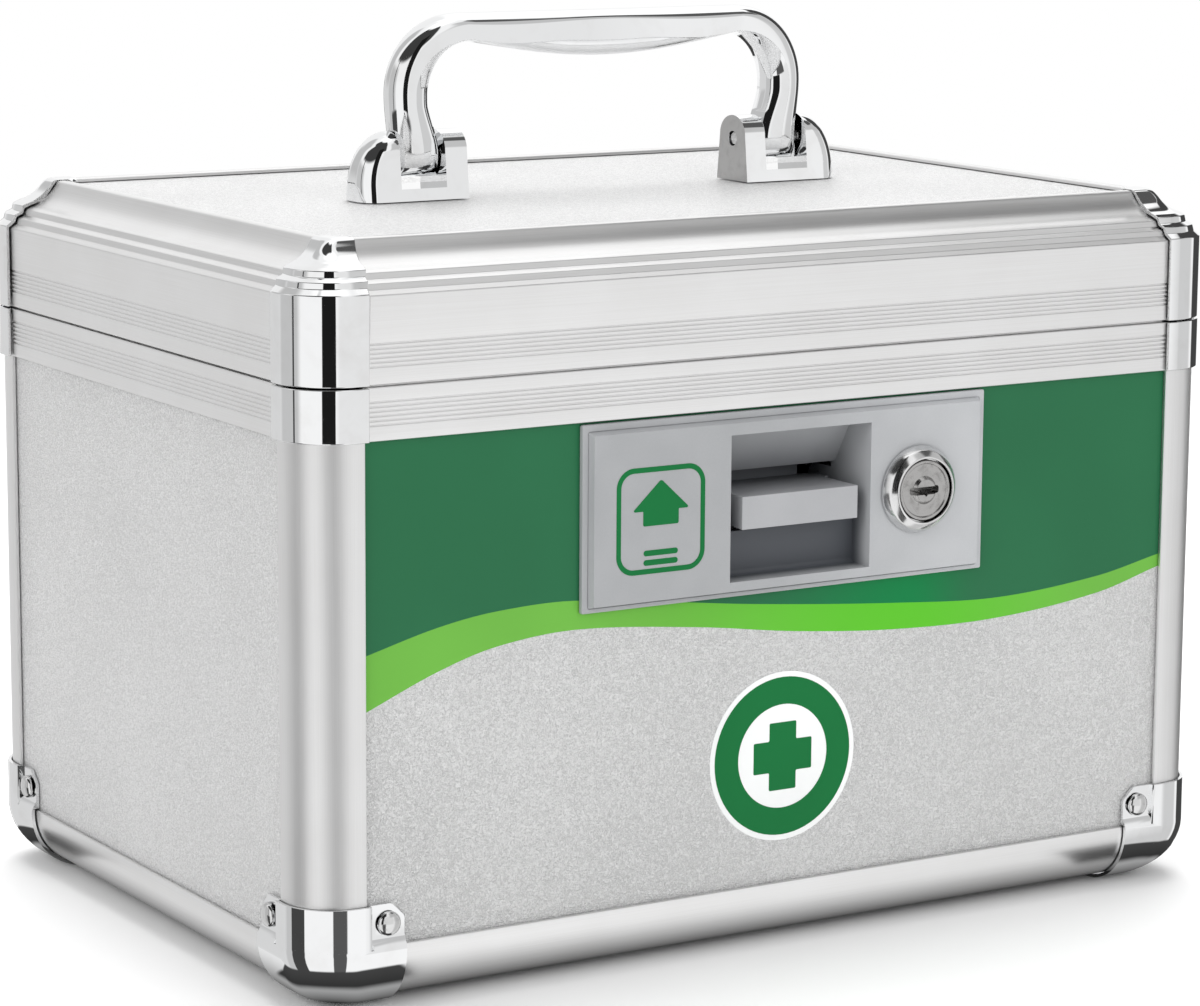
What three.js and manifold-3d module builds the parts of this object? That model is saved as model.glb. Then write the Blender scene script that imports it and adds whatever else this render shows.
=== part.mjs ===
// Medication lock box: panels held in a slotted metal frame, with chrome corners, a lid on a
// long rear hinge, a folding carry handle, a lift latch in a moulded plate and a cam lock.
// Millimetres, +Z up, -Y to the front. The origin is on the ground below the middle of the box.
import * as THREE from 'three';
import { mergeVertices } from 'three/addons/utils/BufferGeometryUtils.js';
import Module from 'manifold-3d';

const wasm = await Module();
wasm.setup();

// The whole box
const boxWidth = 240;
const boxDepth = 166;
const seamHeight = 136; // middle of the gap between body and lid
const seamGap = 0.4;
const fitGap = 0.3; // left between pieces that touch
const overrun = 1; // every cutting solid runs this far past what it cuts
const weldDistance = 0.0001; // points nearer than this are one point

// Panels and the slots that hold their edges
const panelThickness = 3;
const panelRecess = 1.2; // panel face behind the frame's face
const innerLip = 0.9; // frame wall behind a panel
const slotStart = 9.6; // from the frame's outer face to the bottom of the slot
const postSlotDepth = 4.1;
const railSlotDepth = 4.5;

// Frame
const postRadius = 11.5;
const railRadius = 13;
const rimHeight = 11.5;
const tongueThickness = 1.2;
const tongueHeight = 3.5;
const rimGrooveStart = 3.4; // below the seam
const rimGroovePitch = 0.98;
const grooveCount = 6;
const grooveWidth = 0.6;
const grooveDepth = 0.3;

// Chrome corners
const chromeProud = 1.1; // chrome stands this far out of the frame
const chromeCover = 0.25; // how far an upper corner reaches over the rails
const bodyCapThickness = 0.8;
const footArm = 8.6; // how far a bottom corner runs along the rails
const footSkirtRise = 2; // from the rail's top to the skirt's edge
const footPlateRise = 7.3; // from the skirt's edge to the top of the riveted plate
const footBallRadius = 8; // plan radius at the very bottom
const footRiser = 0.5;
const footPlateProud = 0.8;
const footPlateClip = 3.4;

// Rivets in the bottom corners
const rivetEdge = 4.8; // from the end of the corner's leg
const rivetDrop = 3.9; // from the top of the plate
const rivetHeadRadius = 2.75;
const rivetHeadHeight = 1.5;
const rivetShankRadius = 1.2;
const rivetTailRadius = 2;
const rivetTailLength = 1;

// Lid
const lidWallHeight = 18.7;
const lidWallThickness = 1.4;
const lidGrooveStart = 4; // above the seam
const lidGroovePitch = 0.955;
const lidRimWidth = 14; // from the wall to where the lid panel shows
const lidRimRise = 10.9; // from the wall's top to the crest
const lidPanelDrop = 1.2; // lid panel below the crest
const lidPanelSeat = 1.9; // how far the crest reaches over the lid panel
const lidLedgeWidth = 3.5; // how far the ledge under the panel runs past the crest
const lidLedgeThickness = 1;
const lidCornerFlare = 2.6;
const lidCornerCrestRadius = 2;

// Hinge
const hingeMargin = 21; // from the box's side to the hinge's end
const knuckleCount = 9;
const knuckleRadius = 2.1;
const knuckleGap = 0.4;
const hingePinRadius = 0.8;
const hingePinHeadRadius = 1.7;
const hingePinHeadLength = 0.8;
const leafThickness = 1;
const leafHeight = 11;
const stopReach = 2.9; // from the hinge axis to the end of the stop lugs
const stopTop = 1;
const lidOpening = 95; // degrees

// Lock plate: a field for the icon, the recess for the fingers and a field for the lock
const plateDrop = 0.5; // below the rim rail
const plateHeight = 41.4;
const plateThickness = 2.7;
const plateBevelDepth = 1.2;
const plateBevelSide = 1.6;
const plateBevelTop = 2.1;
const iconFieldWidth = 38.7;
const lockFieldWidth = 19.4; // from the lock's axis to the plate's right edge
const lockSetOff = 12.1; // from the recess to the lock's axis
const lockDrop = 21; // from the plate's top to the lock's axis
const recessCentre = 3; // right of the box's middle
const recessWidth = 37.4;
const recessDrop = 5.3; // from the plate's top
const recessHeight = 32.5;
const recessWall = 1.6;
const pocketDepth = 7; // lower half of the recess
const pocketHeight = 10;
const hoodDepth = 7.7; // upper half, at its top
const hoodSlope = 6.5; // and how much deeper it gets
const hoodHeight = 10.7;

// Latch lever
const leverWidth = 32;
const leverHeight = 7.4;
const leverSetBack = 0.7; // behind the plate's face
const leverPivotDepth = 21; // behind the plate's face
const leverPivotDrop = 17.4; // below the recess's top
const leverBossRadius = 3.5;
const leverPinRadius = 1;
const hookWidth = 24;
const hookThickness = 2.6;
const hookSetBack = 0.3; // hook arm's front before the pivot's axis
const hookReach = 4.4;
const hookNoseHeight = 3;
const hookTipHeight = 1;
const earWidth = 7;
const earHeight = 9.6;
const tailWidth = 10;
const tailLength = 11.8;
const tailRise = 1.5; // top of the tail above the pivot's axis
const tailThickness = 3;

// Catch under the lid, and the springs
const catchWidth = 20;
const catchThickness = 1.5;
const catchRoofRise = 4; // above the seam
const catchLegRise = 12;
const catchHold = 2.7; // how far the lip lies under the hook
const catchRimClearance = 0.5;
const shelfThickness = 2;
const liftShelfWidth = 14;
const latchShelfWidth = 16;
const springWire = 0.35; // radius
const springRadius = 2.4;
const springCurls = 4;
const liftSpringHeight = 6.1;
const latchSpringHeight = 9;

// Cam lock
const bezelRadius = 10;
const bezelProud = 3.2;
const bezelLand = 1.6;
const barrelRadius = 8;
const plugFaceRadius = 6.95;
const plugFaceThickness = 2.4;
const plugFaceDrop = 0.7;
const plugRadius = 5.5;
const keyBossRadius = 3.2;
const keySlotWidth = 1.8;
const keySlotLength = 8;
const keySlotDepth = 5;
const camThickness = 1.5;
const camHubRadius = 6;
const camTipRadius = 3.6;
const camLength = 27.5;
const camRestAngle = 32.5; // degrees above +X, seen from the front
const camSquare = 5;
const camSquareLength = 4;
const nutRadius = 9.8;
const nutThickness = 3;

// Handle and its brackets
const pivotRise = 10.4; // above the lid panel
const handleHalfWidth = 56;
const handleRise = 32; // from the pivot to the top of the grip
const hubHalfWidth = 5.5;
const hubRadius = 5.2;
const handlePinRadius = 1.5;
const innerCheekWidth = 5.7;
const bulbWidth = 9.5;
const bulbHeight = 10.4;
const bulbPlanRadius = 5;
const notchClearance = 0.4;
const notchFloor = 2.8; // above the bracket's underside
const cheekFoot = 6.7; // half depth at the lid
const cheekShoulder = 5.5; // half depth where the top starts to round
const cheekShoulderDrop = 3.8;
const cheekRise = 5.6; // from the pivot to the top of the cheeks
const studRadius = 2;
const studEndRadius = 3.2;
const studEndLength = 1;
const studInset = 4.2;

// Half of the bail from the pivot to the middle of the grip. Each row has the place of its
// middle, in shares of the half width and the rise, and its thickness and depth, in shares
// of the hub's.
const bailShares = [
  [0.891, 0, 1, 1], [0.893, 0.11, 0.98, 1], [0.909, 0.25, 0.89, 0.985],
  [0.921, 0.406, 0.8, 0.966], [0.909, 0.594, 0.78, 0.96], [0.845, 0.769, 0.69, 0.954],
  [0.745, 0.862, 0.62, 0.954], [0.629, 0.901, 0.587, 0.966], [0.464, 0.873, 0.727, 1.015],
  [0.25, 0.85, 0.855, 1.058], [0, 0.836, 0.954, 1.077],
];

// How round the bail's section is, from 1 for an ellipse down to a soft rectangle, and where the
// rings of its lower ends stand, in degrees from the pin's axis.
const bailSquareness = 0.8;
const hubEndAngles = [75, 50, 25];

// Outside of the lid rail above its wall, in shares of the rim's width and rise: two small
// steps, a cove and a round crest. Its inside follows.
const lidRimShares = [
  [0, 0], [0.02, 0.045], [0.1, 0.11], [0.13, 0.2], [0.157, 0.24], [0.229, 0.285],
  [0.257, 0.385], [0.3, 0.43], [0.343, 0.45], [0.529, 0.57], [0.686, 0.77], [0.779, 0.954],
  [0.83, 0.991], [0.871, 1], [0.95, 0.982],
];
const lidRimInnerShares = [[0.686, 0.495], [0.43, 0.33], [0.257, 0.165]];

// Worked out from the sizes above
const slotOuter = panelRecess - fitGap;
const slotInner = panelRecess + panelThickness + fitGap;
const sectionThickness = slotInner + innerLip;
const postReach = slotStart + postSlotDepth;
const railReach = slotStart + railSlotDepth;
const chromeWidth = postReach + fitGap + chromeCover;
const lidCornerRadius = postRadius + chromeProud + fitGap;
const frameFoot = chromeProud; // the bottom rails' underside
const railTop = frameFoot + railReach;
const postBottom = railTop + fitGap;
const footReach = railReach + footArm;
const footSkirt = railTop + footSkirtRise;
const footHeight = footSkirt + footPlateRise;
const rivetInset = footReach - rivetEdge;
const rivetHeight = footHeight - rivetDrop;
const bodyTop = seamHeight - seamGap / 2;
const rimBottom = bodyTop - rimHeight;
const lidBottom = seamHeight + seamGap / 2;
const lidWallTop = lidBottom + lidWallHeight;
const crestHeight = lidWallTop + lidRimRise;
const lidPanelTop = crestHeight - lidPanelDrop;
const panelEdge = slotStart + fitGap; // from the frame's outer face to a panel's edge
const frontFace = -boxDepth / 2;
const panelFace = frontFace + panelRecess;
const panelBack = panelFace + panelThickness;
const plateBack = panelFace - fitGap;
const plateFace = plateBack - plateThickness;
const plateTop = rimBottom - plateDrop;
const plateBottom = plateTop - plateHeight;
const recessLeft = recessCentre - recessWidth / 2;
const recessRight = recessCentre + recessWidth / 2;
const recessTop = plateTop - recessDrop;
const recessBottom = recessTop - recessHeight;
const pocketTop = recessBottom + pocketHeight;
const hoodBottom = recessTop - hoodHeight;
const plateLeft = recessLeft - iconFieldWidth;
const lockX = recessRight + lockSetOff;
const lockZ = plateTop - lockDrop;
const plateRight = lockX + lockFieldWidth;
const leverPivotY = plateFace + leverPivotDepth;
const leverPivotZ = recessTop - leverPivotDrop;
const hookFront = leverPivotY - hookSetBack;
const hookBack = hookFront + hookThickness;
const tailTop = leverPivotZ + tailRise;
const catchLipLow = recessTop + recessWall + liftSpringHeight + 2 * fitGap;
const catchLipTop = catchLipLow + catchThickness;
const hookNoseLow = catchLipTop + fitGap;
const hookTop = hookNoseLow + hookNoseHeight;
const latchShelfTop = tailTop - tailThickness - latchSpringHeight - 2 * fitGap;
const latchSpringY = leverPivotY + tailLength - springRadius - 2 * springWire;
const liftSpringY = hookFront - hookReach - springRadius - 2 * springWire;
const camFront = hookBack + fitGap;
const barrelBack = camFront - fitGap;
const pivotHeight = lidPanelTop + pivotRise;
const legCentre = bailShares[0][0] * handleHalfWidth;
const notchInner = legCentre - hubHalfWidth - notchClearance;
const notchOuter = legCentre + hubHalfWidth + notchClearance;
const bracketInner = notchInner - innerCheekWidth;
const bracketOuter = notchOuter + bulbWidth;
const studPlaces = [bracketInner + studInset, bracketOuter - studInset];

const materials = {
  panel: new THREE.MeshStandardMaterial({ color: 0xc9cacb, roughness: 0.6, metalness: 0.1 }),
  frame: new THREE.MeshStandardMaterial({ color: 0xd3d5d6, roughness: 0.35, metalness: 0.9 }),
  chrome: new THREE.MeshStandardMaterial({ color: 0xe6e8ea, roughness: 0.08, metalness: 1 }),
  moulding: new THREE.MeshStandardMaterial({ color: 0xc5c7ca, roughness: 0.5, metalness: 0 }),
  steel: new THREE.MeshStandardMaterial({ color: 0xb4b6b9, roughness: 0.3, metalness: 1 }),
};

const quarterSteps = 6; // faces in a quarter round
const smallRoundSteps = 14; // faces round a small turned piece
const largeRoundSteps = 28; // faces round the lock
const degrees = Math.PI / 180;

const group = new THREE.Group();

// Merges equal points and drops triangles without area.
function weld(geometry) {
  const bare = geometry.clone();
  bare.deleteAttribute('normal');
  bare.deleteAttribute('uv');
  const merged = mergeVertices(bare, weldDistance);
  const corners = [];
  for (let i = 0; i < merged.index.count; i += 3) {
    const [a, b, c] = [0, 1, 2].map((k) => merged.index.getX(i + k));
    if (a !== b && b !== c && c !== a) corners.push(a, b, c);
  }
  merged.setIndex(corners);
  return facingOut(merged);
}

// Turns the triangles round when a transform or a loft left them facing in.
function facingOut(geometry) {
  const place = geometry.attributes.position;
  const [a, b, c] = [new THREE.Vector3(), new THREE.Vector3(), new THREE.Vector3()];
  const corners = Array.from(geometry.index.array);
  let volume = 0;
  for (let i = 0; i < corners.length; i += 3) {
    a.fromBufferAttribute(place, corners[i]);
    b.fromBufferAttribute(place, corners[i + 1]);
    c.fromBufferAttribute(place, corners[i + 2]);
    volume += a.dot(b.cross(c));
  }
  if (volume < 0) {
    for (let i = 0; i < corners.length; i += 3) {
      [corners[i], corners[i + 1]] = [corners[i + 1], corners[i]];
    }
    geometry.setIndex(corners);
  }
  return geometry;
}

function solidOf(geometry) {
  const closed = weld(geometry);
  return new wasm.Manifold(new wasm.Mesh({
    numProp: 3,
    vertProperties: Float32Array.from(closed.attributes.position.array),
    triVerts: Uint32Array.from(closed.index.array),
  }));
}

function geometryOf(solid) {
  const mesh = solid.getMesh();
  const geometry = new THREE.BufferGeometry();
  geometry.setAttribute('position', new THREE.BufferAttribute(mesh.vertProperties, 3));
  geometry.setIndex(new THREE.BufferAttribute(mesh.triVerts, 1));
  geometry.computeVertexNormals();
  return geometry;
}

const join = (first, ...rest) => rest.reduce((whole, next) => whole.add(next), first);
const cut = (first, ...rest) => rest.reduce((whole, next) => whole.subtract(next), first);
const common = (first, ...rest) => rest.reduce((whole, next) => whole.intersect(next), first);

function outline(points) {
  const shape = new THREE.Shape();
  points.forEach(([u, v], i) => (i === 0 ? shape.moveTo(u, v) : shape.lineTo(u, v)));
  return shape;
}

function rectangle(left, right, bottom, top) {
  return outline([[left, bottom], [right, bottom], [right, top], [left, top]]);
}

function circle(u, v, radius) {
  const shape = new THREE.Shape();
  shape.absarc(u, v, radius, 0, 2 * Math.PI, false);
  return shape;
}

// Extrudes an outline along an axis: (x, y) along z, (x, z) along y, (y, z) along x.
const extrudeAxes = {
  x: new THREE.Matrix4().set(0, 0, 1, 0, 1, 0, 0, 0, 0, 1, 0, 0, 0, 0, 0, 1),
  y: new THREE.Matrix4().set(1, 0, 0, 0, 0, 0, 1, 0, 0, 1, 0, 0, 0, 0, 0, 1),
  z: new THREE.Matrix4(),
};

function prism(shape, axis, from, to, steps = quarterSteps) {
  const geometry = new THREE.ExtrudeGeometry(shape, {
    depth: to - from, bevelEnabled: false, curveSegments: steps,
  });
  geometry.translate(0, 0, from);
  geometry.applyMatrix4(extrudeAxes[axis]);
  return solidOf(geometry);
}

function block(x0, x1, y0, y1, z0, z1) {
  return prism(rectangle(x0, x1, y0, y1), 'z', z0, z1);
}

// Turns a profile of [radius, distance] pairs round an axis along y through (x, z).
function turned(profile, x, z, steps = smallRoundSteps) {
  const points = profile.map(([radius, along]) => new THREE.Vector2(radius, along));
  return solidOf(new THREE.LatheGeometry(points, steps).translate(x, 0, z));
}

// The same, round an axis along x through (y, z).
function turnedAlongX(profile, y, z, steps = smallRoundSteps) {
  const points = profile.map(([radius, along]) => new THREE.Vector2(radius, along));
  const geometry = new THREE.LatheGeometry(points, steps).rotateZ(-Math.PI / 2);
  return solidOf(geometry.translate(0, y, z));
}

const rod = (radius, from, to) => [[0, from], [radius, from], [radius, to], [0, to]];

// Skins rings of points that all follow one section. The section, in the plane, closes the ends.
function loft(rings, section) {
  const count = section.length;
  const corners = [];
  for (let ring = 0; ring + 1 < rings.length; ring += 1) {
    for (let i = 0; i < count; i += 1) {
      const next = (i + 1) % count;
      const [a, b] = [ring * count + i, ring * count + next];
      const [c, d] = [a + count, b + count];
      corners.push(a, b, d, a, d, c);
    }
  }
  const last = (rings.length - 1) * count;
  const flat = section.map(([u, v]) => new THREE.Vector2(u, v));
  const turn = THREE.ShapeUtils.area(flat) < 0 ? -1 : 1;
  for (const [a, b, c] of THREE.ShapeUtils.triangulateShape(flat, [])) {
    const [first, second] = turn > 0 ? [b, a] : [a, b];
    corners.push(first, second, c, last + second, last + first, last + c);
  }
  const geometry = new THREE.BufferGeometry();
  geometry.setAttribute('position', new THREE.Float32BufferAttribute(rings.flat(2), 3));
  geometry.setIndex(corners);
  return solidOf(geometry);
}

function piece(name, solid, material, parent = group) {
  const mesh = new THREE.Mesh(geometryOf(solid), material);
  mesh.name = name;
  parent.add(mesh);
  return mesh;
}

// A corner's own frame has its origin on the box's upright edge, with x and y both inward.
const corners = [
  { name: 'front_left', x: -boxWidth / 2, y: -boxDepth / 2, turn: 0 },
  { name: 'front_right', x: boxWidth / 2, y: -boxDepth / 2, turn: 1 },
  { name: 'rear_right', x: boxWidth / 2, y: boxDepth / 2, turn: 2 },
  { name: 'rear_left', x: -boxWidth / 2, y: boxDepth / 2, turn: 3 },
].map((corner) => ({ ...corner, frame: placed(corner) }));

// A side's own frame has its origin on the middle of the box's side, with y inward.
const sides = [
  { name: 'front', x: 0, y: -boxDepth / 2, turn: 0, half: boxWidth / 2 },
  { name: 'right', x: boxWidth / 2, y: 0, turn: 1, half: boxDepth / 2 },
  { name: 'rear', x: 0, y: boxDepth / 2, turn: 2, half: boxWidth / 2 },
  { name: 'left', x: -boxWidth / 2, y: 0, turn: 3, half: boxDepth / 2 },
].map((side) => ({ ...side, frame: placed(side) }));

function placed({ x, y, turn }) {
  const frame = new THREE.Group();
  frame.position.set(x, y, 0);
  frame.rotation.z = turn * Math.PI / 2;
  group.add(frame);
  return frame;
}

// Post and bottom rail: an L with a round outer corner and a slot in the end of each leg.
function frameSection(reach, radius) {
  const shape = outline([
    [reach, 0], [reach, slotOuter], [slotStart, slotOuter], [slotStart, slotInner],
    [reach, slotInner], [reach, sectionThickness], [sectionThickness, sectionThickness],
    [sectionThickness, reach], [slotInner, reach], [slotInner, slotStart],
    [slotOuter, slotStart], [slotOuter, reach], [0, reach], [0, radius],
  ]);
  shape.absarc(radius, radius, radius, Math.PI, 1.5 * Math.PI, false);
  return shape;
}

// V grooves up a face that stands at zero depth.
function grooves(lowest, pitch) {
  const half = grooveWidth / 2;
  return Array.from({ length: grooveCount }, (_, i) => lowest + i * pitch)
    .flatMap((middle) => [[0, middle - half], [grooveDepth, middle], [0, middle + half]]);
}

function buildPosts() {
  for (const { name, frame } of corners) {
    const top = bodyTop - bodyCapThickness - fitGap;
    const section = frameSection(postReach, postRadius);
    piece(`${name}_post`, prism(section, 'z', postBottom, top), materials.frame, frame);
  }
}

function buildBottomRails() {
  const start = railReach + fitGap;
  for (const { name, half, frame } of sides) {
    const rail = prism(frameSection(railReach, railRadius), 'x', start - half, half - start);
    piece(`${name}_bottom_rail`, rail.translate([0, 0, frameFoot]), materials.frame, frame);
  }
}

function buildRimRails() {
  const start = postReach + fitGap;
  const tongueFront = lidWallThickness + fitGap;
  const tongueBack = tongueFront + tongueThickness;
  const slotTop = rimBottom + railSlotDepth;
  const lowestGroove = seamHeight - rimGrooveStart - (grooveCount - 1) * rimGroovePitch;
  const section = outline([
    [0, rimBottom], ...grooves(lowestGroove, rimGroovePitch), [0, bodyTop],
    [tongueFront, bodyTop], [tongueFront, bodyTop + tongueHeight],
    [tongueBack, bodyTop + tongueHeight], [tongueBack, bodyTop],
    [sectionThickness, bodyTop], [sectionThickness, rimBottom],
    [slotInner, rimBottom], [slotInner, slotTop], [slotOuter, slotTop], [slotOuter, rimBottom],
  ]);
  for (const { name, half, frame } of sides) {
    piece(`${name}_rim_rail`, prism(section, 'x', start - half, half - start), materials.frame, frame);
  }
}

// Side panels stand in the posts' slots, with their lower corners cut round the chrome corners.
function buildSidePanels() {
  const low = frameFoot + slotStart + fitGap;
  const top = rimBottom + railSlotDepth - fitGap;
  for (const { name, half, frame } of sides) {
    const edge = half - panelEdge;
    const notch = half - railReach - fitGap;
    const face = outline([
      [-notch, low], [notch, low], [notch, postBottom], [edge, postBottom], [edge, top],
      [-edge, top], [-edge, postBottom], [-notch, postBottom],
    ]);
    let panel = prism(face, 'y', panelRecess, panelRecess + panelThickness);
    for (const side of [-1, 1]) {
      const hole = rod(rivetShankRadius + fitGap, 0, slotInner + overrun);
      panel = cut(panel, turned(hole, side * (half - rivetInset), rivetHeight));
    }
    if (name === 'front') panel = cut(panel, lockCutOut().translate([0, boxDepth / 2, 0]));
    piece(`${name}_panel`, panel, materials.panel, frame);
  }
}

// What the lock plate's housing and the lock's barrel need out of the front panel.
function lockCutOut() {
  const housing = rectangle(
    recessLeft - recessWall - fitGap, recessRight + recessWall + fitGap,
    recessBottom - recessWall - fitGap, recessTop + recessWall + fitGap,
  );
  const from = plateBack - overrun;
  const to = panelBack + overrun;
  return join(
    prism(housing, 'y', from, to),
    turned(rod(barrelRadius + fitGap, from, to), lockX, lockZ, largeRoundSteps),
  );
}

function buildBottomPanel() {
  const [edgeX, edgeY] = [boxWidth / 2 - panelEdge, boxDepth / 2 - panelEdge];
  const notch = railReach + 2 * fitGap;
  const [notchX, notchY] = [boxWidth / 2 - notch, boxDepth / 2 - notch];
  const face = outline([
    [-notchX, -edgeY], [notchX, -edgeY], [notchX, -notchY], [edgeX, -notchY],
    [edgeX, notchY], [notchX, notchY], [notchX, edgeY], [-notchX, edgeY],
    [-notchX, notchY], [-edgeX, notchY], [-edgeX, -notchY], [-notchX, -notchY],
  ]);
  const low = frameFoot + panelRecess;
  piece('bottom_panel', prism(face, 'z', low, low + panelThickness), materials.panel);
}

// Plan of a shell round the post, with legs of one width.
function shellPlan(width, outer, inner) {
  const shape = outline([[width, inner], [width, outer], [postRadius, outer]]);
  const outerRadius = postRadius - outer;
  shape.absarc(postRadius, postRadius, outerRadius, 1.5 * Math.PI, Math.PI, true);
  shape.lineTo(outer, width);
  shape.lineTo(inner, width);
  shape.lineTo(inner, postRadius);
  shape.absarc(postRadius, postRadius, postRadius - inner, Math.PI, 1.5 * Math.PI, false);
  return shape;
}

function buildBodyCorners() {
  const shell = prism(shellPlan(chromeWidth, -chromeProud, -fitGap), 'z', rimBottom, bodyTop);
  const capPlan = outline([
    [postReach, -chromeProud], [postReach, sectionThickness],
    [sectionThickness, sectionThickness], [sectionThickness, postReach],
    [-chromeProud, postReach], [-chromeProud, postRadius],
  ]);
  const outerRadius = postRadius + chromeProud;
  capPlan.absarc(postRadius, postRadius, outerRadius, Math.PI, 1.5 * Math.PI, false);
  const cap = prism(capPlan, 'z', bodyTop - bodyCapThickness, bodyTop);
  for (const { name, frame } of corners) {
    piece(`${name}_body_corner`, join(shell, cap), materials.chrome, frame);
  }
}

// The outside of a bottom corner: upright faces that roll under, with a ball-like corner.
function footBlock() {
  const upright = postRadius + chromeProud;
  const under = railRadius + chromeProud;
  const ringAt = (inset, height) => {
    const edge = inset - chromeProud;
    const radius = upright - (upright - footBallRadius) * inset / under;
    const middle = edge + radius;
    const arc = Array.from({ length: quarterSteps + 1 }, (_, i) => {
      const angle = (1.5 - 0.5 * i / quarterSteps) * Math.PI;
      return [middle + radius * Math.cos(angle), middle + radius * Math.sin(angle), height];
    });
    return [[footReach, edge, height], ...arc, [edge, footReach, height], [footReach, footReach, height]];
  };
  const rings = Array.from({ length: quarterSteps + 1 }, (_, i) => {
    const angle = 0.5 * Math.PI * i / quarterSteps;
    return ringAt(under * (1 - Math.sin(angle)), under * (1 - Math.cos(angle)));
  });
  rings.push(ringAt(0, footHeight));
  return loft(rings, rings[0].map(([u, v]) => [u, v]));
}

// One leg of a bottom corner, along x: the skirt round the rail and the riveted plate above it.
function footLeg() {
  const low = frameFoot - fitGap;
  const skirt = outline([
    [-chromeProud - overrun, -overrun], [footReach, -overrun], [footReach, low], [railRadius, low],
  ]);
  const middle = frameFoot + railRadius;
  skirt.absarc(railRadius, middle, railRadius + fitGap, 1.5 * Math.PI, Math.PI, true);
  skirt.lineTo(-fitGap, footSkirt);
  skirt.lineTo(-chromeProud - overrun, footSkirt);
  const plateBackFace = panelRecess - fitGap;
  const plateFrontFace = plateBackFace - footPlateProud;
  const start = postReach + fitGap;
  const plate = outline([
    [start, postBottom], [footReach, postBottom], [footReach, footHeight - footPlateClip],
    [footReach - footPlateClip, footHeight], [start, footHeight],
  ]);
  const hole = rod(rivetShankRadius + fitGap, plateFrontFace - overrun, plateBackFace + overrun);
  return cut(
    join(
      prism(skirt, 'x', railReach, footReach),
      prism(plate, 'y', plateFrontFace, plateBackFace),
      block(start, start + footRiser, -chromeProud, plateBackFace, postBottom, footHeight),
      block(start, footReach, -chromeProud, plateBackFace, footSkirt - footRiser, footSkirt),
    ),
    turned(hole, rivetInset, rivetHeight),
  );
}

function buildBottomCorners() {
  const core = block(-chromeProud, railReach, -chromeProud, railReach, 0, railTop);
  const shellWidth = postReach + fitGap + footRiser;
  const shell = prism(shellPlan(shellWidth, -chromeProud, -fitGap), 'z', railReach, footHeight);
  const leg = footLeg();
  const mirrored = leg.transform([0, 1, 0, 0, 1, 0, 0, 0, 0, 0, 1, 0, 0, 0, 0, 1]);
  const foot = common(footBlock(), join(core, shell, leg, mirrored));
  for (const { name, frame } of corners) {
    piece(`${name}_bottom_corner`, foot, materials.chrome, frame);
  }
}

// Domed blind rivets through the bottom corners' plates and the panels.
function buildRivets() {
  const seat = panelRecess - 2 * fitGap - footPlateProud;
  const tail = panelRecess + panelThickness + fitGap;
  const domeSteps = 3;
  const dome = Array.from({ length: domeSteps }, (_, i) => {
    const angle = 0.5 * Math.PI * i / domeSteps;
    return [rivetHeadRadius * Math.sin(angle), seat - rivetHeadHeight * Math.cos(angle)];
  });
  const profile = [
    ...dome, [rivetHeadRadius, seat], [rivetShankRadius, seat], [rivetShankRadius, tail],
    [rivetTailRadius, tail], [rivetTailRadius, tail + rivetTailLength], [0, tail + rivetTailLength],
  ];
  for (const { name, half, frame } of sides) {
    for (const [word, side] of [['left', -1], ['right', 1]]) {
      const rivet = turned(profile, side * (half - rivetInset), rivetHeight);
      piece(`${name}_rivet_${word}`, rivet, materials.steel, frame);
    }
  }
}

const atRim = ([inset, rise]) => [inset * lidRimWidth, lidWallTop + rise * lidRimRise];

function lidRimOutline() {
  return [...lidRimShares.map(atRim), [lidRimWidth, lidPanelTop + fitGap]];
}

function buildLidRails() {
  const slotTop = lidPanelTop + fitGap;
  const slotLow = lidPanelTop - panelThickness - fitGap;
  const slotBack = lidRimWidth - lidPanelSeat - fitGap;
  const ledge = slotLow - lidLedgeThickness;
  const ledgeEnd = lidRimWidth + lidLedgeWidth;
  const section = [
    [0, lidBottom], ...grooves(seamHeight + lidGrooveStart, lidGroovePitch),
    ...lidRimOutline(), [slotBack, slotTop], [slotBack, slotLow],
    [ledgeEnd, slotLow], [ledgeEnd, ledge], ...lidRimInnerShares.map(atRim),
    [lidWallThickness, lidWallTop - lidWallThickness / 2], [lidWallThickness, lidBottom],
  ];
  for (const { name, half, frame } of sides) {
    const end = (inset) => half - Math.max(postRadius, inset) - fitGap;
    const rings = [-1, 1].map((side) => section.map(([inset, z]) => [side * end(inset), inset, z]));
    piece(`${name}_lid_rail`, loft(rings, section), materials.frame, frame);
  }
}

function buildLidPanel() {
  const inset = lidRimWidth - lidPanelSeat;
  const [edgeX, edgeY] = [boxWidth / 2 - inset, boxDepth / 2 - inset];
  const low = lidPanelTop - panelThickness;
  let panel = block(-edgeX, edgeX, -edgeY, edgeY, low, lidPanelTop);
  const drill = prism(circle(0, 0, studRadius + fitGap), 'z', low - overrun, lidPanelTop + overrun);
  for (const x of studPlaces) {
    panel = cut(panel, drill.translate([x, 0, 0]), drill.translate([-x, 0, 0]));
  }
  piece('lid_top_panel', panel, materials.panel);
}

// Moves an open outline sideways by a distance, with mitred corners.
function offsetOutline(points, distance) {
  const normals = points.slice(1).map(([u, v], i) => {
    const [du, dv] = [u - points[i][0], v - points[i][1]];
    const length = Math.hypot(du, dv);
    return [-dv / length, du / length];
  });
  return points.map(([u, v], i) => {
    const before = normals[Math.max(i - 1, 0)];
    const after = normals[Math.min(i, normals.length - 1)];
    const scale = distance / (1 + before[0] * after[0] + before[1] * after[1]);
    return [u + scale * (before[0] + after[0]), v + scale * (before[1] + after[1])];
  });
}

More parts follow.
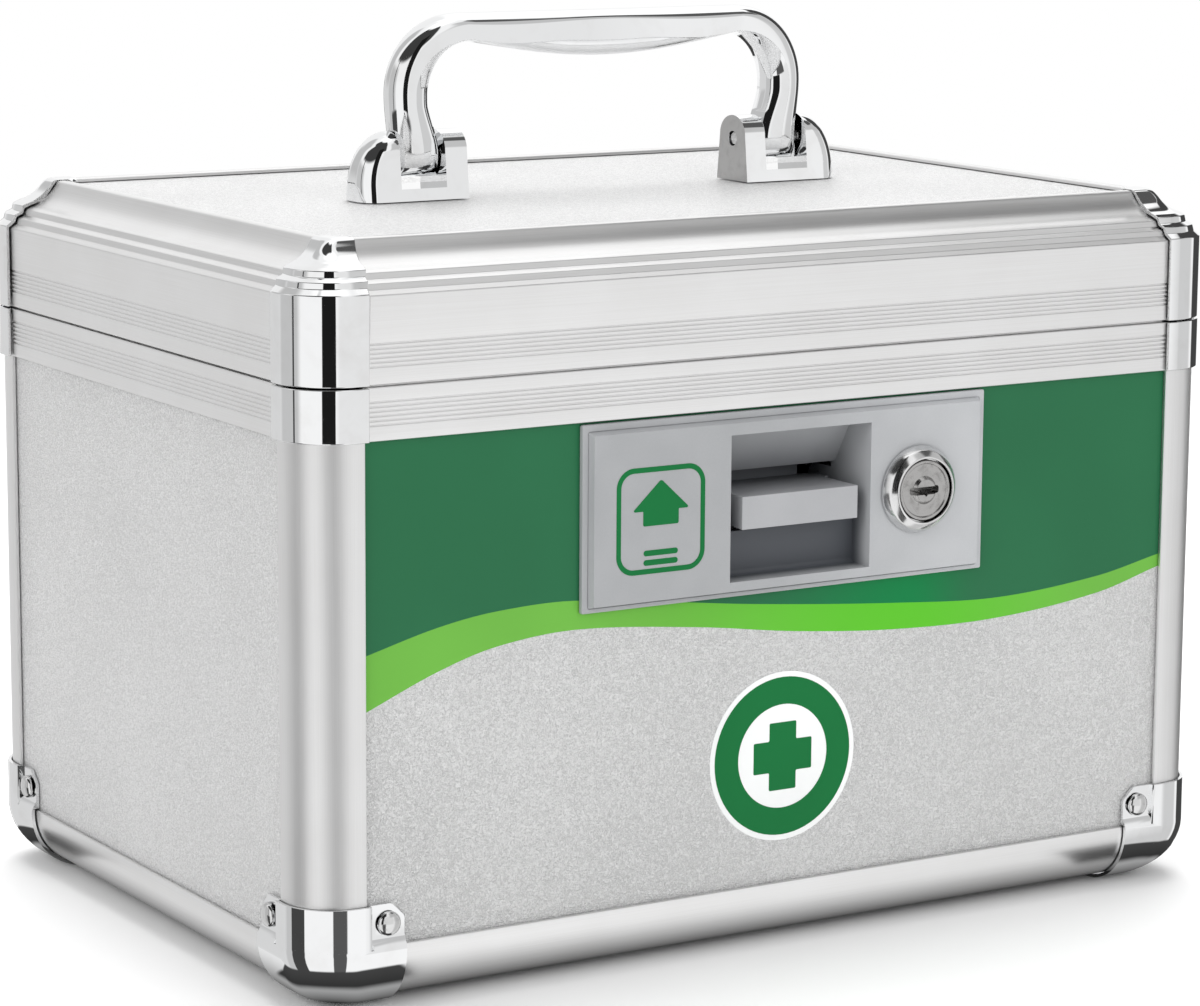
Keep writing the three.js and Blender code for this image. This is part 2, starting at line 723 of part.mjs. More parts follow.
// Chrome lid corner: the lid rail's outside, moved out and swept round the corner.
function buildLidCorners() {
  const base = [[0, lidBottom], ...lidRimOutline()];
  const outer = offsetOutline(base, chromeProud);
  const inner = offsetOutline(base, fitGap).reverse();
  const section = [...outer, ...inner];
  const centre = lidCornerRadius - chromeProud;
  const track = section.map(([inset, z], i) => {
    const least = i < outer.length ? lidCornerCrestRadius : lidCornerCrestRadius / 2;
    const radius = Math.max(centre - inset, least);
    const climb = Math.min(Math.max((z - lidWallTop) / lidRimRise, 0), 1);
    const end = chromeWidth + lidCornerFlare * climb;
    return { inset, z, radius, middle: inset + radius, end: Math.max(end, inset + radius + fitGap) };
  });
  const rings = [track.map(({ inset, z, end }) => [end, inset, z])];
  for (let step = 0; step <= quarterSteps; step += 1) {
    const angle = (1.5 - 0.5 * step / quarterSteps) * Math.PI;
    rings.push(track.map(({ z, radius, middle }) => [
      middle + radius * Math.cos(angle), middle + radius * Math.sin(angle), z,
    ]));
  }
  rings.push(track.map(({ inset, z, end }) => [inset, end, z]));
  const corner = loft(rings, section);
  for (const { name, frame } of corners) {
    piece(`${name}_lid_corner`, corner, materials.chrome, frame);
  }
}

// Two leaves with knuckles in turn along one pin, in the world frame at the rear.
function buildHinge() {
  const axisY = boxDepth / 2 + fitGap + knuckleRadius;
  const leafBack = boxDepth / 2 + fitGap;
  const start = hingeMargin - boxWidth / 2;
  const pitch = -2 * start / knuckleCount;
  const stopUnderside = stopLugUnderside();
  const leaf = (first, side) => {
    const low = side < 0 ? seamHeight - leafHeight : seamHeight;
    const high = low + leafHeight;
    let body = block(start, -start, leafBack, leafBack + leafThickness, low, high);
    for (let i = 0; i < knuckleCount; i += 1) {
      const [from, to] = [start + i * pitch, start + (i + 1) * pitch];
      const mine = i % 2 === first;
      const grow = mine ? -knuckleGap / 2 : knuckleGap / 2;
      const radius = mine ? knuckleRadius : knuckleRadius + fitGap;
      const barrel = turnedAlongX(rod(radius, from - grow, to + grow), axisY, seamHeight);
      body = mine ? join(body, barrel) : cut(body, barrel);
      if (mine && side > 0) {
        const lug = rectangle(axisY, axisY + stopReach, seamHeight + stopUnderside, seamHeight + stopTop);
        body = join(body, prism(lug, 'x', from - grow, to + grow));
      }
    }
    const bore = rod(hingePinRadius + fitGap, start - overrun, overrun - start);
    return cut(body, turnedAlongX(bore, axisY, seamHeight));
  };
  piece('hinge_body_leaf', leaf(0, -1), materials.steel);
  piece('hinge_lid_leaf', leaf(1, 1), materials.steel);
  const end = fitGap - start;
  const pin = [
    [0, -end - hingePinHeadLength], [hingePinHeadRadius, -end - hingePinHeadLength],
    [hingePinHeadRadius, -end], [hingePinRadius, -end], [hingePinRadius, end],
    [hingePinHeadRadius, end], [hingePinHeadRadius, end + hingePinHeadLength],
    [0, end + hingePinHeadLength],
  ];
  piece('hinge_pin', turnedAlongX(pin, axisY, seamHeight), materials.steel);
}

// Height of the stop lugs' underside above the hinge axis, so that with the lid fully open
// they lie against the body's leaf.
function stopLugUnderside() {
  const leafFace = leafThickness - knuckleRadius + fitGap;
  const open = lidOpening * degrees;
  return (leafFace - stopReach * Math.cos(open)) / Math.sin(open);
}

// Moulded plate, its recess for the fingers, the cheeks for the lever's pin and two spring seats.
function buildLockPlate() {
  const ring = (sideInset, topInset, y) => [
    [plateLeft + sideInset, y, plateBottom + sideInset / 2],
    [plateRight - sideInset, y, plateBottom + sideInset / 2],
    [plateRight - sideInset, y, plateTop - topInset],
    [plateLeft + sideInset, y, plateTop - topInset],
  ];
  const rings = [
    ring(0, 0, plateBack), ring(0, 0, plateFace + plateBevelDepth),
    ring(plateBevelSide, plateBevelTop, plateFace),
  ];
  const flange = loft(rings, rings[0].map(([x, , z]) => [x, z]));
  const pocketBack = plateFace + pocketDepth;
  const hoodTopBack = plateFace + hoodDepth;
  const hoodBack = hoodTopBack + hoodSlope;
  const wallBack = hoodBack + recessWall;
  const housing = outline([
    [plateBack - overrun, recessBottom - recessWall],
    [pocketBack + recessWall, recessBottom - recessWall], [pocketBack + recessWall, pocketTop],
    [wallBack, pocketTop], [wallBack, hoodBottom], [hoodTopBack + recessWall, recessTop],
    [hoodTopBack + recessWall, recessTop + recessWall],
    [plateBack - overrun, recessTop + recessWall],
  ]);
  const recess = outline([
    [plateFace - overrun, recessBottom], [pocketBack, recessBottom], [pocketBack, pocketTop],
    [wallBack + overrun, pocketTop], [wallBack + overrun, hoodBottom], [hoodBack, hoodBottom],
    [hoodTopBack, recessTop], [plateFace - overrun, recessTop],
  ]);
  const cheekRadius = leverBossRadius + recessWall;
  const cheek = outline([
    [pocketBack, leverPivotZ - cheekRadius], [leverPivotY, leverPivotZ - cheekRadius],
  ]);
  cheek.absarc(leverPivotY, leverPivotZ, cheekRadius, -0.5 * Math.PI, 0.5 * Math.PI, false);
  cheek.lineTo(pocketBack, leverPivotZ + cheekRadius);
  const [left, right] = [recessLeft - recessWall, recessRight + recessWall];
  const latchSeatBack = latchSpringY + springRadius + 2 * springWire + recessWall;
  const liftSeatBack = liftSpringY + springRadius + 2 * springWire;
  const plate = cut(
    join(flange, prism(housing, 'x', left, right), prism(cheek, 'x', left, right)),
    prism(recess, 'x', recessLeft, recessRight),
    block(recessLeft, recessRight, pocketBack, latchSeatBack, pocketTop, hoodBottom),
    turned(
      rod(barrelRadius + fitGap, plateFace - overrun, plateBack + overrun),
      lockX, lockZ, largeRoundSteps,
    ),
    turnedAlongX(rod(leverPinRadius + fitGap, left - overrun, right + overrun), leverPivotY, leverPivotZ),
  );
  const seats = [
    block(
      recessCentre - latchShelfWidth / 2, recessCentre + latchShelfWidth / 2,
      pocketBack + recessWall / 2, latchSeatBack, latchShelfTop - shelfThickness, latchShelfTop,
    ),
    block(
      recessCentre - liftShelfWidth / 2, recessCentre + liftShelfWidth / 2,
      hoodTopBack, liftSeatBack, recessTop, recessTop + recessWall,
    ),
  ];
  piece('lock_plate', join(plate, ...seats), materials.moulding);
}

// Finger bar in front of the pivot, hook arm above it and spring tail behind it.
function buildLatch() {
  const [left, right] = [recessCentre - leverWidth / 2, recessCentre + leverWidth / 2];
  const barFront = plateFace + leverSetBack;
  const barLow = leverPivotZ - leverHeight / 2;
  const barTop = leverPivotZ + leverHeight / 2;
  const barBack = plateFace + hoodDepth + hoodSlope;
  const bar = outline([
    [barFront, barLow], [barFront, barTop], [barBack, barTop],
    [leverPivotY, leverPivotZ + leverBossRadius],
    [leverPivotY, leverPivotZ - leverBossRadius], [barBack, barLow + leverSetBack],
  ]);
  const hook = outline([
    [hookFront, leverPivotZ], [hookFront, hookNoseLow],
    [hookFront - hookReach, hookNoseLow], [hookFront - hookReach, hookNoseLow + hookTipHeight],
    [hookFront - hookTipHeight, hookTop], [hookBack, hookTop], [hookBack, leverPivotZ],
  ]);
  const hookLeft = recessCentre - hookWidth / 2;
  const hookRight = recessCentre + hookWidth / 2;
  const bossLeft = recessLeft + fitGap;
  const bossRight = recessRight - fitGap;
  const lever = cut(
    join(
      prism(bar, 'x', left, right),
      turnedAlongX(rod(leverBossRadius, bossLeft, bossRight), leverPivotY, leverPivotZ),
      prism(hook, 'x', hookLeft, hookRight),
      block(
        hookRight - overrun, hookRight + earWidth,
        hookFront, hookBack, hookTop - earHeight, hookTop,
      ),
      block(
        recessCentre - tailWidth / 2, recessCentre + tailWidth / 2,
        leverPivotY, leverPivotY + tailLength, tailTop - tailThickness, tailTop,
      ),
    ),
    turnedAlongX(
      rod(leverPinRadius + fitGap, bossLeft - overrun, bossRight + overrun),
      leverPivotY, leverPivotZ,
    ),
  );
  piece('latch_lever', lever, materials.moulding);
  const pinEnd = recessWall + 2 * fitGap;
  piece(
    'latch_pin',
    turnedAlongX(rod(leverPinRadius, recessLeft - pinEnd, recessRight + pinEnd), leverPivotY, leverPivotZ),
    materials.steel,
  );
}

// One unbroken tube wound upward at a steady rate.
function coilSpring(name, y, foot, height) {
  const stepsPerCurl = 8;
  const sides = 5;
  const total = springCurls * stepsPerCurl;
  const low = foot + springWire;
  const pitch = (height - 2 * springWire) / springCurls;
  const middles = [];
  const rings = [];
  for (let step = 0; step <= total; step += 1) {
    const angle = 2 * Math.PI * step / stepsPerCurl;
    const middle = [
      recessCentre + springRadius * Math.cos(angle), y + springRadius * Math.sin(angle),
      low + pitch * step / stepsPerCurl,
    ];
    middles.push(middle);
    rings.push(Array.from({ length: sides }, (_, side) => {
      const around = 2 * Math.PI * side / sides;
      const out = springWire * Math.cos(around);
      return [
        middle[0] + out * Math.cos(angle), middle[1] + out * Math.sin(angle),
        middle[2] + springWire * Math.sin(around),
      ];
    }));
  }
  const section = Array.from({ length: sides }, (_, side) => {
    const around = 2 * Math.PI * side / sides;
    return [springWire * Math.cos(around), springWire * Math.sin(around)];
  });
  let least = Infinity;
  middles.forEach((one, i) => {
    for (const other of middles.slice(i + stepsPerCurl / 2)) {
      least = Math.min(least, Math.hypot(...one.map((value, k) => value - other[k])));
    }
  });
  console.log(`${name}: least gap between its curls ${(least - 2 * springWire).toFixed(2)} mm`);
  piece(name, loft(rings, section), materials.steel);
}

function buildSprings() {
  coilSpring('latch_spring', latchSpringY, latchShelfTop + fitGap, latchSpringHeight);
  coilSpring('lift_spring', liftSpringY, recessTop + recessWall + fitGap, liftSpringHeight);
}

// Strip inside the lid's front wall that steps over the rim's tongue and hooks under the lever.
function buildLidCatch() {
  const legFront = frontFace + lidWallThickness + fitGap;
  const legBack = legFront + catchThickness;
  const roof = seamHeight + catchRoofRise;
  const dropFront = frontFace + sectionThickness + catchRimClearance;
  const dropBack = dropFront + catchThickness;
  const lipBack = hookFront - hookReach + catchHold;
  const section = outline([
    [legFront, roof + catchLegRise], [legFront, roof], [dropFront, roof],
    [dropFront, catchLipLow], [lipBack, catchLipLow], [lipBack, catchLipTop],
    [dropBack, catchLipTop],
    [dropBack, roof + catchThickness], [legBack, roof + catchThickness],
    [legBack, roof + catchLegRise],
  ]);
  const [left, right] = [recessCentre - catchWidth / 2, recessCentre + catchWidth / 2];
  piece('lid_catch', prism(section, 'x', left, right), materials.steel);
}

function buildLock() {
  const seat = plateFace - fitGap;
  const front = seat - bezelProud;
  const bore = plugFaceRadius + fitGap;
  const faceFront = front + plugFaceDrop;
  const counterbore = faceFront + plugFaceThickness + fitGap;
  const innerBore = plugRadius + fitGap;
  const ringMiddle = (bezelRadius + bore) / 2;
  const barrel = turned([
    [bore, front + plugFaceDrop], [bore + bezelLand / 4, front + plugFaceDrop / 4],
    [bore + bezelLand / 2, front], [ringMiddle + bezelLand / 2, front + plugFaceDrop],
    [bezelRadius - bezelLand / 4, seat - bezelProud / 2], [bezelRadius, seat],
    [barrelRadius, seat], [barrelRadius, barrelBack], [innerBore, barrelBack],
    [innerBore, counterbore], [bore, counterbore], [bore, front + plugFaceDrop],
  ], lockX, lockZ, largeRoundSteps);
  piece('lock_barrel', barrel, materials.chrome);

  const plugBack = barrelBack;
  const halfSquare = camSquare / 2;
  const keyway = rectangle(
    lockX - keySlotLength / 2, lockX + keySlotLength / 2,
    lockZ - keySlotWidth / 2, lockZ + keySlotWidth / 2,
  );
  const plug = cut(
    join(
      turned([
        [0, front], [keyBossRadius, front], [keyBossRadius, faceFront],
        [plugFaceRadius, faceFront], [plugFaceRadius, faceFront + plugFaceThickness],
        [plugRadius, faceFront + plugFaceThickness], [plugRadius, plugBack], [0, plugBack],
      ], lockX, lockZ, largeRoundSteps),
      block(
        lockX - halfSquare, lockX + halfSquare, plugBack - overrun, plugBack + camSquareLength,
        lockZ - halfSquare, lockZ + halfSquare,
      ),
    ),
    prism(keyway, 'y', front - overrun, front + keySlotDepth),
  );
  piece('lock_plug', plug, materials.steel);

  const rest = camRestAngle * degrees;
  const slope = Math.asin((camHubRadius - camTipRadius) / camLength);
  const reach = [camLength * Math.cos(rest), camLength * Math.sin(rest)];
  const arm = new THREE.Shape();
  arm.absarc(lockX, lockZ, camHubRadius, rest + Math.PI / 2 - slope, rest - Math.PI / 2 + slope, false);
  arm.absarc(
    lockX + reach[0], lockZ + reach[1], camTipRadius,
    rest - Math.PI / 2 + slope, rest + Math.PI / 2 - slope, false,
  );
  const hole = halfSquare + fitGap;
  const cam = cut(
    prism(arm, 'y', camFront, camFront + camThickness),
    block(
      lockX - hole, lockX + hole, camFront - overrun, camFront + camThickness + overrun,
      lockZ - hole, lockZ + hole,
    ),
  );
  piece('lock_cam', cam, materials.steel);

  const nutFront = panelBack + fitGap;
  const hexagon = outline(Array.from({ length: 6 }, (_, i) => [
    lockX + nutRadius * Math.sin(i * Math.PI / 3), lockZ + nutRadius * Math.cos(i * Math.PI / 3),
  ]));
  const nut = cut(
    prism(hexagon, 'y', nutFront, nutFront + nutThickness),
    turned(
      rod(barrelRadius + fitGap, nutFront - overrun, nutFront + nutThickness + overrun),
      lockX, lockZ, largeRoundSteps,
    ),
  );
  piece('lock_nut', nut, materials.steel);
}

function buildHandle() {
  const half = bailShares.map(([x, z]) => [x * handleHalfWidth, z * handleRise]);
  const sizes = bailShares.map(([, , a, b]) => [a * hubHalfWidth, b * hubRadius]);
  const mirror = (list, sign) => list.slice(0, -1).reverse().map(([first, second]) => [sign * first, second]);
  const path = new THREE.CatmullRomCurve3(
    [...half, ...mirror(half, -1)].map(([x, z]) => new THREE.Vector3(x, 0, pivotHeight + z)),
  );
  const thickness = new THREE.CatmullRomCurve3(
    [...sizes, ...mirror(sizes, 1)].map(([a, b]) => new THREE.Vector3(a, b, 0)),
  );
  const around = 12;
  const along = 30;
  const section = Array.from({ length: around }, (_, i) => {
    const angle = 2 * Math.PI * i / around;
    const soft = (value) => Math.sign(value) * Math.abs(value) ** bailSquareness;
    return [soft(Math.cos(angle)), soft(Math.sin(angle))];
  });
  const ringAt = (middle, across, a, b) => section.map(([u, v]) => [
    middle.x + across.x * u * a, v * b, middle.z + across.z * u * a,
  ]);
  const hubEnd = (side) => hubEndAngles.map((angle) => {
    const low = hubRadius * Math.sin(angle * degrees);
    const deep = hubRadius * Math.cos(angle * degrees);
    const middle = new THREE.Vector3(side * legCentre, 0, pivotHeight - low);
    return ringAt(middle, new THREE.Vector3(1, 0, 0), hubHalfWidth, deep);
  });
  const rings = [];
  for (let step = 0; step <= along; step += 1) {
    const share = step / along;
    const tangent = path.getTangent(share);
    const size = thickness.getPoint(share);
    const across = new THREE.Vector3(tangent.z, 0, -tangent.x);
    if (step === 0 || step === along) across.set(1, 0, 0);
    rings.push(ringAt(path.getPoint(share), across, size.x, size.y));
  }
  const flipped = (ring) => section.map((_, i) => ring[(around + around / 2 - i) % around]);
  rings[along] = flipped(rings[along]);
  const rightHub = hubEnd(1);
  const leftHub = hubEnd(-1).reverse().map(flipped);
  const bail = loft([...rightHub, ...rings, ...leftHub], section);
  const bore = rod(handlePinRadius + fitGap, -bracketOuter, bracketOuter);
  piece('handle', cut(bail, turnedAlongX(bore, 0, pivotHeight)), materials.chrome);
}

// Bracket: two cheeks on a foot, the outer one a round bulb, with studs through the lid panel.
function buildBrackets() {
  const low = lidPanelTop + fitGap;
  const top = pivotHeight + cheekRise;
  const bulbBase = top - bulbHeight;
  const front = outline([
    [bracketInner, low], [bracketOuter, low], [bracketOuter, bulbBase],
  ]);
  front.absellipse(notchOuter, bulbBase, bracketOuter - notchOuter, bulbHeight, 0, 0.5 * Math.PI, false);
  front.lineTo(notchOuter, low + notchFloor);
  front.lineTo(notchInner, low + notchFloor);
  front.lineTo(notchInner, top);
  front.lineTo(bracketInner, top);
  const shoulder = top - cheekShoulderDrop;
  const side = outline([[-cheekFoot, low], [cheekFoot, low], [cheekShoulder, shoulder]]);
  side.absellipse(0, shoulder, cheekShoulder, cheekShoulderDrop, 0, Math.PI, false);
  const plan = outline([[bracketInner, -cheekFoot], [bracketOuter - bulbPlanRadius, -cheekFoot]]);
  plan.absarc(
    bracketOuter - bulbPlanRadius, bulbPlanRadius - cheekFoot, bulbPlanRadius,
    -0.5 * Math.PI, 0, false,
  );
  plan.absarc(
    bracketOuter - bulbPlanRadius, cheekFoot - bulbPlanRadius, bulbPlanRadius,
    0, 0.5 * Math.PI, false,
  );
  plan.lineTo(bracketInner, cheekFoot);
  let bracket = common(
    prism(front, 'y', -cheekFoot - overrun, cheekFoot + overrun),
    prism(side, 'x', bracketInner - overrun, bracketOuter + overrun),
    prism(plan, 'z', low, top + overrun),
  );
  const under = lidPanelTop - panelThickness - fitGap;
  const stud = join(
    prism(circle(0, 0, studRadius), 'z', under - studEndLength / 2, low + notchFloor / 2),
    prism(circle(0, 0, studEndRadius), 'z', under - studEndLength, under),
  );
  for (const x of studPlaces) bracket = join(bracket, stud.translate([x, 0, 0]));
  const pinEnd = (notchOuter + bracketOuter) / 2;
  bracket = cut(
    bracket,
    turnedAlongX(rod(handlePinRadius + fitGap, bracketInner - overrun, pinEnd + fitGap), 0, pivotHeight),
  );
  const pin = turnedAlongX(rod(handlePinRadius, bracketInner + fitGap, pinEnd), 0, pivotHeight);
  for (const [name, turn] of [['right', 0], ['left', Math.PI]]) {
    const frame = new THREE.Group();
    frame.rotation.z = turn;
    group.add(frame);
    piece(`${name}_handle_bracket`, bracket, materials.chrome, frame);
    piece(`${name}_handle_pin`, pin, materials.steel, frame);
  }
}

buildPosts();
buildBottomRails();
buildRimRails();
buildSidePanels();
buildBottomPanel();
buildBodyCorners();
buildBottomCorners();
buildRivets();
buildLidRails();
buildLidPanel();
buildLidCorners();
buildHinge();
buildLockPlate();
buildLatch();
buildSprings();
buildLidCatch();
buildLock();
buildHandle();
buildBrackets();

export default group;
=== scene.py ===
import math

import bmesh
import bpy
from mathutils import Matrix, Vector


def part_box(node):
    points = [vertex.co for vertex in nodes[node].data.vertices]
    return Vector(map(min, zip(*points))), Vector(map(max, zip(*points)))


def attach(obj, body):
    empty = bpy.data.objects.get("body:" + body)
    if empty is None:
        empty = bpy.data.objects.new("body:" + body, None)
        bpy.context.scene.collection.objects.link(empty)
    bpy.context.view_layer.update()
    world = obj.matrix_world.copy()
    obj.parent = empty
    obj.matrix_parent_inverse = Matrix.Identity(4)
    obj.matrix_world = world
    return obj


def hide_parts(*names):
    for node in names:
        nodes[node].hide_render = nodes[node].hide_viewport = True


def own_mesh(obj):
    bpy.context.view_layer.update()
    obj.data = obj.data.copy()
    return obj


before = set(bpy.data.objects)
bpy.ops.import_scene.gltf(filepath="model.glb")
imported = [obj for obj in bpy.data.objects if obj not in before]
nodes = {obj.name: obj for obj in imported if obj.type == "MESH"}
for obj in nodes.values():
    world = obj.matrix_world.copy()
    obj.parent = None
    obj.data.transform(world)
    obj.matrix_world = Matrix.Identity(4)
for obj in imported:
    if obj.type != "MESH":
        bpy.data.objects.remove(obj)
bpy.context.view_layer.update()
mm = 0.001
quarter = math.pi / 2
past = 1  # how far a cutter reaches beyond what it cuts
weldReach = 0.0005  # points nearer than this become one


def boxOf(node):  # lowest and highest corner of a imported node, in millimetres
    low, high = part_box(node)
    return low / mm, high / mm


def pick(table, words):  # several values of a dictionary at once
    return [table[word] for word in words.split()]


# Shader arithmetic

class Wire:  # one output, so that values can be added and multiplied
    def __init__(self, graph, socket):
        self.graph = graph
        self.socket = socket

    def math(self, operation, *values):
        return self.graph.add("ShaderNodeMath", {"operation": operation}, dict(enumerate(values)))

    def __add__(self, other):
        return self.math("ADD", self, other)

    def __sub__(self, other):
        return self.math("SUBTRACT", self, other)

    def __rsub__(self, other):
        return self.math("SUBTRACT", other, self)

    def __mul__(self, other):
        return self.math("MULTIPLY", self, other)

    __radd__ = __add__
    __rmul__ = __mul__

    def highest(self, other):
        return self.math("MAXIMUM", self, other)

    def eased(self, start, end):  # 0 before start, 1 after end, smooth between them
        ends = {"Value": self, "From Min": start, "From Max": end}
        return self.graph.add("ShaderNodeMapRange", {"interpolation_type": "SMOOTHSTEP"}, ends)


class Graph:  # the nodes of a material, a world or a lamp
    def __init__(self, tree):
        self.tree = tree

    def add(self, kind, settings=None, inputs=None, output=0):
        node = self.tree.nodes.new(kind)
        for name, value in (settings or {}).items():
            setattr(node, name, value)
        for slot, value in (inputs or {}).items():
            self.feed(node.inputs[slot], value)
        return Wire(self, node.outputs[output])

    def feed(self, socket, value):
        if isinstance(value, Wire):
            self.tree.links.new(value.socket, socket)
        else:
            socket.default_value = value

    def ending(self, kind, value):
        self.tree.links.new(value.socket, self.tree.nodes[kind].inputs["Surface"])


class Finish(Graph):  # one material on a Principled shader
    def __init__(self, name, fixed):
        self.material = bpy.data.materials.new(name)
        self.material.use_nodes = True
        super().__init__(self.material.node_tree)
        self.shader = self.tree.nodes["Principled BSDF"]
        self.give(fixed)

    def give(self, values):
        for slot, value in values.items():
            self.feed(self.shader.inputs[slot], value)

    def dressed(self, colour, look, rough, uneven, strength=1.0):  # rough and uneven are noises
        self.give({
            "Base Color": colour,
            "Roughness": look["rough"] + rough * look["roughSpread"],
            "Normal": self.add("ShaderNodeBump", {}, {
                "Height": uneven, "Distance": look["depth"] * mm, "Strength": strength,
            }),
        })
        return self

    def faded(self, share):  # clear where share is 1
        clear = self.add("ShaderNodeBsdfTransparent")
        solid = Wire(self, self.shader.outputs["BSDF"])
        mix = self.add("ShaderNodeMixShader", {}, {0: share, 1: solid, 2: clear})
        self.ending("Material Output", mix)

    def spot(self, stretch=(1, 1, 1)):  # place on the object, in metres, drawn out along an axis
        place = self.add("ShaderNodeTexCoord", output="Object")
        return self.add("ShaderNodeMapping", {}, {"Vector": place, "Scale": stretch})

    def axis(self, place, name):
        return self.add("ShaderNodeSeparateXYZ", {}, {"Vector": place}, name)

    def noise(self, place, size, detail=2.0, rough=0.5, twist=0.0):  # size of a blot, in mm
        return self.add("ShaderNodeTexNoise", {}, {
            "Vector": place, "Scale": 1 / (size * mm), "Detail": detail,
            "Roughness": rough, "Distortion": twist,
        })

    def tint(self, share, first, second):
        return self.add("ShaderNodeMix", {"data_type": "RGBA"}, {0: share, 6: first, 7: second}, 2)


def grey(value, warm=0.0):
    return (value + warm, value, value - warm, 1)


def dimmed(colour, level):
    return tuple(channel * level for channel in colour[:3]) + (1,)


# Finishes

panelLook = {
    "light": grey(0.82), "dark": grey(0.63), "metal": 0.25, "rough": 0.30, "roughSpread": 0.2,
    "grain": 0.36, "grainShare": 0.35, "wrinkle": 0.6, "patch": 45, "patchShare": 0.1,
    "contrast": (0.46, 0.63), "depth": 0.8,
}


def makePanel(look):
    finish = Finish("grained_panel", {"Metallic": look["metal"], "IOR": 1.5})
    place = finish.spot()
    wrinkle = finish.noise(place, look["wrinkle"], rough=0.55, twist=1.4)
    grain = finish.noise(place, look["grain"], detail=1.0, twist=0.6)
    patch = finish.noise(place, look["patch"], detail=1.0)
    crease = wrinkle * (1 - look["grainShare"]) + grain * look["grainShare"]
    share = (crease + patch * look["patchShare"]).eased(*look["contrast"])
    return finish.dressed(finish.tint(share, look["dark"], look["light"]), look, wrinkle, crease)


satinLook = {
    "light": grey(0.93), "dark": grey(0.87, 0.004), "rough": 0.26, "roughSpread": 0.12,
    "line": 0.16, "drawn": 0.004, "blot": 18, "blotShare": 0.4, "contrast": (0.3, 0.7), "depth": 0.004,
}
postLook = {**satinLook, "rough": 0.38}


def makeSatin(name, look, axis):  # drawn aluminium, with its lines along one axis
    finish = Finish(name, {"Metallic": 1.0})
    stretch = [1.0, 1.0, 1.0]
    stretch[axis] = look["drawn"]
    lines = finish.noise(finish.spot(tuple(stretch)), look["line"], rough=0.6)
    blots = finish.noise(finish.spot(), look["blot"])
    share = (lines * (1 - look["blotShare"]) + blots * look["blotShare"]).eased(*look["contrast"])
    return finish.dressed(finish.tint(share, look["dark"], look["light"]), look, lines, lines, 0.5)


chromeLook = {
    "clear": grey(0.90, -0.006), "dull": grey(0.84), "rough": 0.025, "roughSpread": 0.05,
    "smearSize": 9, "contrast": (0.45, 0.8), "wave": 6, "depth": 0.012,
}


def makeChrome(name, look):
    finish = Finish(name, {"Metallic": 1.0})
    place = finish.spot()
    smear = finish.noise(place, look["smearSize"], detail=3.0, rough=0.6, twist=0.4)
    smear = smear.eased(*look["contrast"])
    wave = finish.noise(place, look["wave"], detail=1.0)
    return finish.dressed(finish.tint(smear, look["clear"], look["dull"]), look, smear, wave, 0.4)


steelLook = {
    **chromeLook, "clear": grey(0.70), "dull": grey(0.50), "rough": 0.26, "roughSpread": 0.22,
    "smearSize": 2.4, "wave": 0.5, "depth": 0.01,
}
rivetLook = {
    **steelLook, "clear": grey(0.76), "dull": grey(0.62), "rough": 0.09, "roughSpread": 0.12,
}
lockLook = {**steelLook, "clear": grey(0.46, 0.006), "dull": grey(0.33, 0.006), "rough": 0.22}
bezelLook = {**chromeLook, "clear": grey(0.80), "dull": grey(0.70), "rough": 0.13}
castLook = {
    **steelLook, "clear": grey(0.50, 0.004), "dull": grey(0.44, 0.004), "rough": 0.34,
    "roughSpread": 0.1,
}

# deep is the colour of the painted shade in the recess. It comes in along y over the low span, and
# higher up than raised over the high span. Left of the x span the plate is dimmed by shade, a painted
# shade.
mouldingLook = {
    "light": (0.49, 0.50, 0.515, 1), "dark": (0.455, 0.465, 0.48, 1), "rough": 0.4,
    "roughSpread": 0.14, "spark": 0.22, "sparkShare": 0.35, "patch": 14, "contrast": (0.35, 0.65),
    "depth": 0.012, "deep": (0.085, 0.092, 0.105, 1), "lowRecessShade": (-83.9, -78), "highRecessShade": (-81, -60),
    "raised": (97, 108), "shade": 0.77, "leftPaintedShade": (-10, 48),
}
# the lever's plastic is darker; it keeps the painted shade of the recess, and shade 1 gives it no
# painted shade on the left
leverLook = {
    **mouldingLook, "shade": 1, "light": (0.415, 0.42, 0.435, 1), "dark": (0.385, 0.39, 0.405, 1),
}


def makeMoulding(name, look):
    finish = Finish(name, {"IOR": 1.46})
    place = finish.spot()
    spark = finish.noise(place, look["spark"], rough=0.6)
    patch = finish.noise(place, look["patch"])
    share = (spark * look["sparkShare"] + patch * (1 - look["sparkShare"])).eased(*look["contrast"])

    def along(axis, key):
        start, end = look[key]
        return finish.axis(place, axis).eased(start * mm, end * mm)

    # painted shade: the recess darkens with depth, over one span below the bar and another above it
    low, high = along("Y", "lowRecessShade"), along("Y", "highRecessShade")
    inside = low + along("Z", "raised") * (high - low)
    dark, light = look["dark"], look["light"]
    # painted shade on the plate's left side
    leftPaintedShade = finish.tint(share, dimmed(dark, look["shade"]), dimmed(light, look["shade"]))
    colour = finish.tint(along("X", "leftPaintedShade"), leftPaintedShade, finish.tint(share, dark, light))
    return finish.dressed(finish.tint(inside, colour, look["deep"]), look, spark, spark, 0.5)


filmLook = {
    "specular": 0.2, "rough": 0.34, "roughSpread": 0.1, "speck": 0.5, "patch": 40,
    "contrast": (0.35, 0.65), "fade": 0.06, "depth": 0.006,
}


